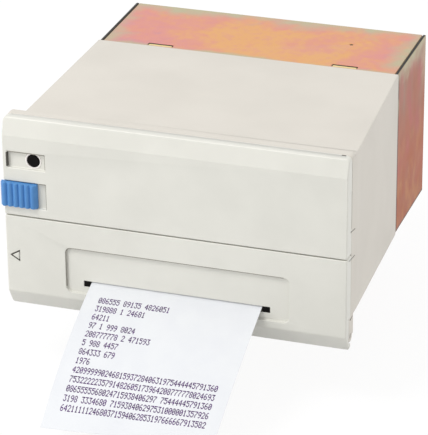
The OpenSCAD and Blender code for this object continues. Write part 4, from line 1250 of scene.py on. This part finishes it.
@dataclass
class PaperTongue(Paper):
    """The printed paper: from the feed roller past the head and the chute, then out of the slot.

    Its line is an arc over the roller, two bends and, outside the slot, two edges whose downward
    slope grows evenly with the length; the sheet between the edges is ruled, so it twists a little.
    """

    drop: tuple = ((7.95, 19.26), (7.95, 15.66), (5.0, 13.35))
    chute: tuple = ((-4.2, 6.15), (-6.14, 4.64), (-7.2, 4.25))
    length: float = 55.0
    left_slopes: Pair = (19.5, 40.3)
    right_slopes: Pair = (21.0, 28.9)

    def inner(self) -> Array:
        """Centre line inside the printer: the arc over the roller, then two quadratic bends.

        Returns:
            Y and Z of its points, from the roller to the slot.
        """
        turn = np.radians(np.linspace(self.lift, 180, 24))[:, None]
        ring = np.concatenate([np.cos(turn), np.sin(turn)], 1)
        arc = np.array(self.roller) + self.roller_r * ring
        t = np.linspace(0, 1, 14)[:, None]
        bends = [(1 - t) ** 2 * np.array(a) + 2 * t * (1 - t) * np.array(b) + t * t * np.array(c)
                 for a, b, c in (self.drop, self.chute)]
        return np.concatenate([arc, *bends])

    def outer(self, u: Array, s: Array) -> Array:
        """Points outside the slot: for a slope that grows evenly from a to b over the length,
        the line is r (sin a - sin q) rearwards and r (cos q - cos a) upwards, q the slope at s.

        Args:
            u: Share across the width from the left edge.
            s: Length from the slot.

        Returns:
            Points in millimetres.
        """
        edges = []
        for start, end in (self.left_slopes, self.right_slopes):
            a, b = math.radians(start), math.radians(end)
            r, q = self.length / (b - a), a + (b - a) * s / self.length
            edges.append(np.stack([self.chute[2][0] - r * (np.sin(q) - math.sin(a)),
                                   self.chute[2][1] - r * (math.cos(a) - np.cos(q))], -1))
        share = u[..., None]
        flat = edges[0] * (1 - share) + edges[1] * share
        return laid(self.across(u), flat[..., 0], flat[..., 1])

    def surface(self) -> Array:
        """The whole sheet.

        Returns:
            Points as rows, columns, 3.
        """
        line, u = self.inner(), np.linspace(0, 1, 29)
        inside = laid(self.across(u), line[:, :1], line[:, 1:])
        return np.concatenate([inside, self.outer(*np.meshgrid(
            u, np.linspace(0, self.length, 62)[1:]))])

    def build(self) -> None:
        """Builds the sheet and, as dots of ink on it, the printing."""
        self.piece("paper_tongue", leaf(self.surface(), self.thick), PAPER, "front_cover",
                   ("paper_strip",), 60.0)
        Printing(sheet=self).build()


DIGITS = (
    "01110 10001 10011 10101 11001 10001 01110", "00100 01100 00100 00100 00100 00100 01110",
    "01110 10001 00001 00010 00100 01000 11111", "11111 00010 00100 00010 00001 10001 01110",
    "00010 00110 01010 10010 11111 00010 00010", "11111 10000 11110 00001 00001 10001 01110",
    "00110 01000 10000 11110 10001 10001 01110", "11111 00001 00010 00100 01000 01000 01000",
    "01110 10001 10001 01110 10001 10001 01110", "01110 10001 10001 01111 00001 00010 01100")


@dataclass
class Printing(Assembly):
    """Rows of plain digits, each a matrix of five by seven dots."""

    title: str = "printing"
    sheet: PaperTongue = field(default_factory=PaperTongue)
    margin: float = 4.9
    pitch: float = 1.21
    first: float = 5.5
    line_pitch: float = 3.42
    dot_x: float = 0.19
    dot_y: float = 0.33
    dot_r: float = 0.175
    short_rows: tuple = ((6, 5, 7), (6, 1, 5), (5,), (2, 1, 3, 4), (9, 1, 6), (1, 3, 4), (6, 3),
                         (4,))
    long_rows: tuple = ((40,), (40,), (25, 14), (4, 7, 27), (40,))

    def marks(self) -> tuple[Array, Array]:
        """Places of all dots. The digits follow from the row and the place in it by a plain sum.

        Returns:
            Share across the sheet and length from the slot of each dot.
        """
        shapes = [np.argwhere(np.array([[c == "1" for c in row] for row in text.split()]))
                  for text in DIGITS]
        across, along = [], []
        for line, groups in enumerate(self.short_rows + self.long_rows):
            place = 0
            for group in groups:
                for k in range(group):
                    value = (3 * line + 7 * place + (place * place) // 5 + k) % 10
                    spots = shapes[value]
                    across.append(self.margin + place * self.pitch + spots[:, 1] * self.dot_x)
                    along.append(self.first + line * self.line_pitch + spots[:, 0] * self.dot_y)
                    place += 1
                place += 1
        return np.concatenate(across) / self.sheet.width, np.concatenate(along)

    def build(self) -> None:
        """Builds every dot as a flat six-sided chip on the sheet's surface.

        A dot's corner lies at its centre plus the radius times cos and sin of the corner's turn,
        measured along the sheet, so that it bends with the sheet.
        """
        u, s = self.marks()
        turn = around(6)
        ring_u = u[:, None] + self.dot_r * np.cos(turn) / self.sheet.width
        ring_s = s[:, None] + self.dot_r * 1.15 * np.sin(turn)
        ring = self.sheet.outer(ring_u, ring_s)
        du = self.sheet.outer(ring_u + 1e-4, ring_s) - ring
        ds = self.sheet.outer(ring_u, ring_s + 1e-2) - ring
        normal = np.cross(ds, du)
        normal /= np.linalg.norm(normal, axis=-1, keepdims=True)
        normal *= np.where(normal[..., 2:] > 0, 1.0, -1.0)
        low = ring + normal * (self.sheet.thick / 2 - 0.02)
        high = ring + normal * (self.sheet.thick / 2 + 0.012)
        points = np.concatenate([low, high], 1)
        k = np.arange(6)
        side = np.stack([k, (k + 1) % 6, (k + 1) % 6 + 6, k + 6], -1)
        base = 12 * np.arange(len(u))[:, None, None]
        faces = (side[None] + base).reshape(-1, 4).tolist()
        faces += (k[::-1][None] + base[:, 0]).tolist() + (k[None] + 6 + base[:, 0]).tolist()
        self.piece("printed_dots", Skin(points.reshape(-1, 3), faces), INK, "front_cover")


@dataclass
class PaperSupply(Paper):
    """The paper roll on its spindle, its brackets, and the web to the mechanism."""

    title: str = "supply"
    roll: Pair = (44.0, 28.45)
    radius: float = 22.5
    core: float = 6.55
    gap: float = 0.1

    def rolled(self) -> Skin:
        """Roll as rings: slightly uneven end faces, and one step where the outer layer begins.

        Returns:
            The closed skin, along X.
        """
        half = self.width / 2
        r = np.linspace(self.core, self.radius - 0.25, 60)
        uneven = 0.06 * np.sin(r * 9.0) * np.sin(r * 2.3)
        left = np.stack([r, -half + 0.08 + uneven], -1)
        rim = [(self.radius, -half + 0.2), (self.radius, half - 0.2)]
        right = np.stack([r[::-1], half - 0.08 - uneven[::-1]], -1)
        line = np.concatenate([left, rim, right])
        turn = around(72)
        grid = laid(line[:, :1] * np.cos(turn), line[:, :1] * np.sin(turn), line[:, 1:])
        return looped(grid).at(Axis.RIGHT, (self.centre, *self.roll))

    def ends(self) -> tuple[Array, Array]:
        """Y and Z of the places where the web leaves the roll and where it meets the roller."""
        way = np.array([math.cos(math.radians(self.lift)), math.sin(math.radians(self.lift))])
        return (np.array(self.roll) + (self.radius + self.gap) * way,
                np.array(self.roller) + self.roller_r * way)

    def web(self) -> Skin:
        """Paper from the roll to the roller: a straight run, drawn finely.

        Returns:
            The closed skin.
        """
        start, end = self.ends()
        t = np.linspace(0, 1, 41)[:, None]
        line = start * (1 - t) + end * t
        u = np.linspace(0, 1, 13)
        return leaf(laid(self.across(u), line[:, :1], line[:, 1:]), self.thick)

    def build(self) -> None:
        """Builds the roll, the core, the spindle, the brackets and the web."""
        self.piece("paper_layers", self.rolled(), ROLL, "supply_roll", ("paper_roll",), 40.0)
        self.eased_all(("roll_core", CARD, 0.1), ("roll_shaft", DARK, 0.25),
                       ("roll_bracket_left", STEEL, 0.25), ("roll_bracket_right", STEEL, 0.25))
        self.screws("bracket_screws", Axis.UP, STEEL, 0.85)
        web = self.piece("paper_run", self.web(), PAPER, "", ("paper_web",), 60.0)
        start, end = ([0.0, *(place * MM).tolist()] for place in self.ends())
        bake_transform(web)


@dataclass
class PrintMechanism(Assembly):
    """The frame of the print mechanism with its motors, chutes, ribbon cassette and head."""

    title: str = "mechanism"
    lead: float = 6.0

    def motor(self, name: str, node: str) -> None:
        """Motor can: rolled edges, a vent ring and two terminals, turned along X.

        Args:
            name: Name of the piece.
            node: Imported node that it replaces.
        """
        low, size, middle = first_shell(node)
        radius, length, cap = size[2] / 2, size[0], 0.6
        profile = [(0, 0), (radius * 0.48, 0), (radius * 0.5, 0.12), (radius * 0.5, cap),
                   (radius * 0.9, cap), (radius * 0.97, cap + 0.15), (radius, cap + 0.5),
                   (radius, length * 0.18), (radius * 0.965, length * 0.19),
                   (radius * 0.965, length * 0.22), (radius, length * 0.23),
                   (radius, length - 0.5), (radius * 0.97, length - 0.15), (radius * 0.9, length),
                   (radius * 0.3, length), (radius * 0.3, length - 1.0), (0, length - 1.0)]
        stud = turned([(0, 0), (0.35, 0), (0.35, cap), (0, cap)], 12)
        away = np.array([math.cos(math.pi / 4), math.sin(math.pi / 4), 0]) * radius * 0.7
        skin = turned(profile, 64) + stud.at(Axis.UP, away) + stud.at(Axis.UP, -away)
        self.piece(name, skin.at(Axis.RIGHT, (low[0], *middle[1:])), STEEL, BODY_OF[node], (node,),
                   30.0)

    def screw(self) -> Skin:
        """Lead screw: its radius falls into a smooth groove where the turn matches the length.

        Returns:
            The closed skin, along X.
        """
        low, size, middle = first_shell("lead_screw")
        x, turn = np.linspace(0, size[0], 560)[:, None], around(40)
        phase = (x / self.lead - turn / (2 * np.pi)) % 1.0
        groove = np.clip(1 - np.abs(phase - 0.5) / 0.14, 0, 1) ** 0.7
        ends = np.clip((x - 1.6) / 0.3, 0, 1) * np.clip((size[0] - 1.6 - x) / 0.3, 0, 1)
        r = size[1] / 2 - 0.42 * groove * ends
        return capped(laid(r * np.cos(turn), r * np.sin(turn), x)).at(
            Axis.RIGHT, (low[0], *middle[1:]))

    def knob(self) -> Skin:
        """Ribbon knob: its rim is drawn in by 0.04 (1 - cos 18 t), and a bar crosses its top.

        Returns:
            The closed skin.
        """
        low, size, middle = first_shell("ribbon_knob")
        turn, radius, total = around(144), size[0] / 2, size[2]
        levels = [(0.5, 0), (0.5, 2.9), (0.93, 2.95), (1.0, 3.15), (1.0, 4.35), (0.92, 4.62),
                  (0.86, 4.66), (0.82, 4.3), (0.0, 4.3)]
        share, height = np.array(levels).T[..., None]
        r = radius * share * (1 - np.where(share > 0.9, 0.04, 0) * (1 - np.cos(18 * turn)))
        body = capped(laid(r * np.cos(turn), r * np.sin(turn), height * total / 4.9))
        bar = soft_box((-radius * 0.8, -0.28, total * 0.86), (radius * 0.8, 0.28, total), 0.12)
        return (body + bar).at(Axis.UP, (*middle[:2], low[2]))

    def ribbon(self) -> Skin:
        """Inked tape between the cassette's arms, bowed by less than a tenth of a millimetre.

        Returns:
            The closed skin.
        """
        low, size, middle = first_shell("ribbon")
        u, v = np.linspace(0, 1, 60)[:, None], np.linspace(0, 1, 7)
        bow = 0.07 * np.sin(np.pi * 9 * u) * np.sin(np.pi * v) * np.sin(np.pi * u)
        return leaf(laid(low[0] + size[0] * u, middle[1] + bow, low[2] + size[2] * v), 0.08)

    def build(self) -> None:
        """Builds every part of the mechanism."""
        self.eased_all(
            ("mech_side_left", STEEL, 0.15), ("mech_side_right", STEEL, 0.15),
            ("tie_rods", GROUND, 0.25), ("roller_bushes", BRASS, 0.15), ("platen", RUBBER, 0.4),
            ("guide_shaft", GROUND, 0.3), ("chute_upper", STEEL, 0.12),
            ("chute_lower", STEEL, 0.12), ("idler_stud", GROUND, 0.15),
            ("ribbon_cassette", DARK, 0.35), ("head_carriage", DARK, 0.3),
            ("print_head", STEEL, 0.12))
        self.motor("feed_motor_can", "feed_motor")
        self.motor("head_motor_can", "head_motor")
        self.piece("threaded_shaft", self.screw(), GROUND, "screw", ("lead_screw",), 50.0)
        self.piece("ribbon_winder", self.knob(), BLUE, "ribbon_drive", ("ribbon_knob",), 45.0)
        self.piece("ink_tape", self.ribbon(), TAPE, "front_cover", ("ribbon",), 60.0)


@dataclass
class FeedTrain(Assembly):
    """Rollers and gears that draw the paper."""

    title: str = "feed train"

    def build(self) -> None:
        """Builds the rollers, the shaft and the gears."""
        self.eased_all(("feed_roller", RUBBER, 0.4), ("pressure_roller", RUBBER, 0.35),
                       ("feed_shaft", GROUND, 0.25), ("feed_gear", NYLON, 0.07),
                       ("idler_gear", NYLON, 0.07), ("motor_pinion", BRASS, 0.05))


@dataclass
class Electronics(Assembly):
    """The control board in the rear box and the two connectors on its rear face."""

    title: str = "electronics"
    pin_pitch: float = 1.78
    leg_width: float = 0.64
    small_chip: float = 8.0

    def legs(self) -> Skin:
        """Chip legs: a flat strip bent down beside each long side, one per pitch.

        Returns:
            The closed skins of all legs.
        """
        legs = []
        for low, high in shells("board_chips"):
            room = high[0] - low[0]
            if room < self.small_chip:
                continue
            count = int(room / self.pin_pitch)
            first = low[0] + (room - (count - 1) * self.pin_pitch) / 2
            middle = low[2] + 0.45 * (high[2] - low[2])
            for x in first + self.pin_pitch * np.arange(count):
                for side, y in ((-1, low[1]), (1, high[1])):
                    line = np.array([(y - side * 0.3, middle), (y + side * 0.5, middle),
                                     (y + side * 0.72, middle - 0.2),
                                     (y + side * 0.74, low[2] + 0.02)])
                    edges = x + self.leg_width * np.array([-0.5, 0.5])
                    legs.append(leaf(laid(edges, line[:, :1], line[:, 1:]), 0.22))
        return joined(legs)

    def cans(self) -> Skin:
        """Capacitors: a can with a rolled groove near its foot and a dished, pressed top.

        Returns:
            The closed skins of all cans.
        """
        cans = []
        for low, high in shells("board_capacitors"):
            r, h = (high - low)[0] / 2, (high - low)[2]
            can = turned([(0, 0), (r * 0.86, 0), (r, 0.3), (r, 1.0), (r * 0.9, 1.3), (r * 0.9, 1.5),
                          (r, 1.8), (r, h - 0.4), (r * 0.94, h - 0.1), (r * 0.84, h),
                          (r * 0.8, h - 0.15), (0, h - 0.2)], 40)
            cans.append(can.at(Axis.UP, (*((low + high) / 2)[:2], low[2])))
        return joined(cans)

    def build(self) -> None:
        """Builds the board, what stands on it and the connectors."""
        self.eased_all(("control_board", BOARD, 0.12), ("board_standoffs", BRASS, 0.15),
                       ("board_chips", RESIN, 0.2), ("data_connector", STEEL, 0.2),
                       ("connector_jackscrews", BRASS, 0.15), ("power_connector", SOCKET, 0.2))
        self.screws("board_screws", Axis.UP, STEEL, 0.8, flip=True)
        self.piece("chip_legs", self.legs(), STEEL, "case")
        self.piece("capacitor_cans", self.cans(), SLEEVE, "case", ("board_capacitors",))


@dataclass
class Studio:
    """Pale floor, soft lights and the camera."""

    aim: Triple = (0.962, 30.0, 15.265)
    azimuth: float = 18.636
    elevation: float = 25.578
    roll: float = -0.619
    distance: float = 920.472
    focal_pixels: float = 2800.0
    picture: Pair = (428.0, 435.0)
    centre_pixel: Pair = (214.137, 216.902)
    sensor: float = 36.0
    floor_z: float = -29.5
    floor_reach: tuple = (0.15, 0.4, 1.0, 3.0, 9.0)
    floor_glow: float = 1.06
    floor_share: float = 0.86
    sky: float = 0.73
    key: float = 0.41

    def camera(self) -> None:
        """Places the camera: it looks back along the line of azimuth and elevation at the aim."""
        a, e, r = (math.radians(v) for v in (self.azimuth, self.elevation, self.roll))
        back = Vector((math.sin(a) * math.cos(e), -math.cos(a) * math.cos(e), math.sin(e)))
        right = Vector((0, 0, 1)).cross(back).normalized()
        above = back.cross(right)
        right, above = (math.cos(r) * right + math.sin(r) * above,
                        math.cos(r) * above - math.sin(r) * right)
        data = bpy.data.cameras.new("camera")
        data.sensor_width = self.sensor
        long_side = max(self.picture)
        data.lens = self.focal_pixels * self.sensor / long_side
        data.clip_start, data.clip_end = 0.01, 50.0
        data.shift_x = (self.picture[0] / 2 - self.centre_pixel[0]) / long_side
        data.shift_y = (self.centre_pixel[1] - self.picture[1] / 2) / long_side
        item = placed("camera", data)
        turn = Matrix((right, above, back)).transposed().to_4x4()
        place = (Vector(self.aim) + back * self.distance) * MM
        item.matrix_world = Matrix.Translation(place) @ turn
        bpy.context.scene.camera = item

    def lamp(self, name: str, place: Sequence[float], size: float, level: float,
             colour: Triple = (1, 1, 1)) -> None:
        """Square soft light aimed at the printer.

        Args:
            name: Name of the light.
            place: Its place in metres.
            size: Side of the square in metres.
            level: Light that a white surface facing it at the printer sends back, 1 being white.
            colour: Its colour.
        """
        data = bpy.data.lights.new(name, "AREA")
        data.shape, data.size, data.color = "SQUARE", size, colour
        item = placed(name, data)
        item.location = place
        way = Vector(self.aim) * MM - item.location
        data.energy = level * math.pi ** 2 * way.length ** 2
        item.rotation_mode = "QUATERNION"
        item.rotation_quaternion = way.to_track_quat("-Z", "Y")

    def world(self) -> None:
        """Even white surroundings, seen as plain white and lighting at the sky's level."""
        world = bpy.data.worlds.new("surroundings")
        bpy.context.scene.world = world
        world.use_nodes = True
        nodes = Nodes(world.node_tree)
        level = nodes.add("MapRange", {"Value": nodes.seen(), "To Min": self.sky})
        nodes.fill(nodes.tree.nodes["Background"], {"Strength": level.outputs[0],
                                                    "Color": (1, 1, 1, 1)})

    def floor(self) -> None:
        """Round pale floor: it shows white to the camera and keeps part of the shadow."""
        reach = np.array(self.floor_reach)[:, None] / MM
        grid = laid(reach * np.cos(around(96)), reach * np.sin(around(96)), self.floor_z)
        faces = woven(len(reach), 96) + [list(range(96))]
        mesh = Skin(grid.reshape(-1, 3), faces).mesh("studio_floor")
        recipe = Recipe("studio_floor")
        tone = recipe.mix(recipe.noise(400.0), (0.73, 0.73, 0.73, 1), (0.71, 0.71, 0.71, 1))
        recipe.finish(tone, 0.9, None, specular=0.0)
        glow = recipe.add("Emission", {"Color": (1, 1, 1, 1), "Strength": self.floor_glow})
        share = recipe.maths("MULTIPLY", recipe.seen(), self.floor_share)
        mixed = recipe.add("MixShader", {0: share, 1: recipe.shader.outputs[0], 2: glow.outputs[0]})
        recipe.fill(recipe.out, {0: mixed.outputs[0]})
        mesh.materials.append(recipe.material)
        placed("studio_floor", mesh)

    def build(self) -> None:
        """Builds the studio."""
        scene = bpy.context.scene
        scene.view_settings.view_transform = "Standard"
        self.camera()
        self.world()
        self.floor()
        self.lamp("key_light", (-0.46, -0.57, 1.1), 0.45, self.key, (1.0, 0.995, 0.985))
        self.lamp("front_light", (-0.45, -0.35, 0.12), 0.25, 0.14)
        self.lamp("side_light", (1.6, 0.35, 0.55), 0.6, 0.14, (1.0, 0.975, 0.93))


def dress_the_rest() -> None:
    """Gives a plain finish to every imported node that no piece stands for."""
    for name, item in frame["nodes"].items():
        if not item.hide_render:
            LOG.warning("node %s is shown as packed", name)
            item.data.materials.clear()
            item.data.materials.append(STEEL.material())


def main() -> None:
    """Builds the studio and the printer."""
    logging.basicConfig(level=logging.INFO, format="%(name)s %(message)s")
    Studio().build()
    for group in (CoverMouldings(), LatchSlider(), FeedButton(), CaseMoulding(), RearBox(),
                  PaperTongue(), PaperSupply(), PrintMechanism(), FeedTrain(), Electronics()):
        group.build()
    dress_the_rest()


if __name__ == "__main__":
    main()
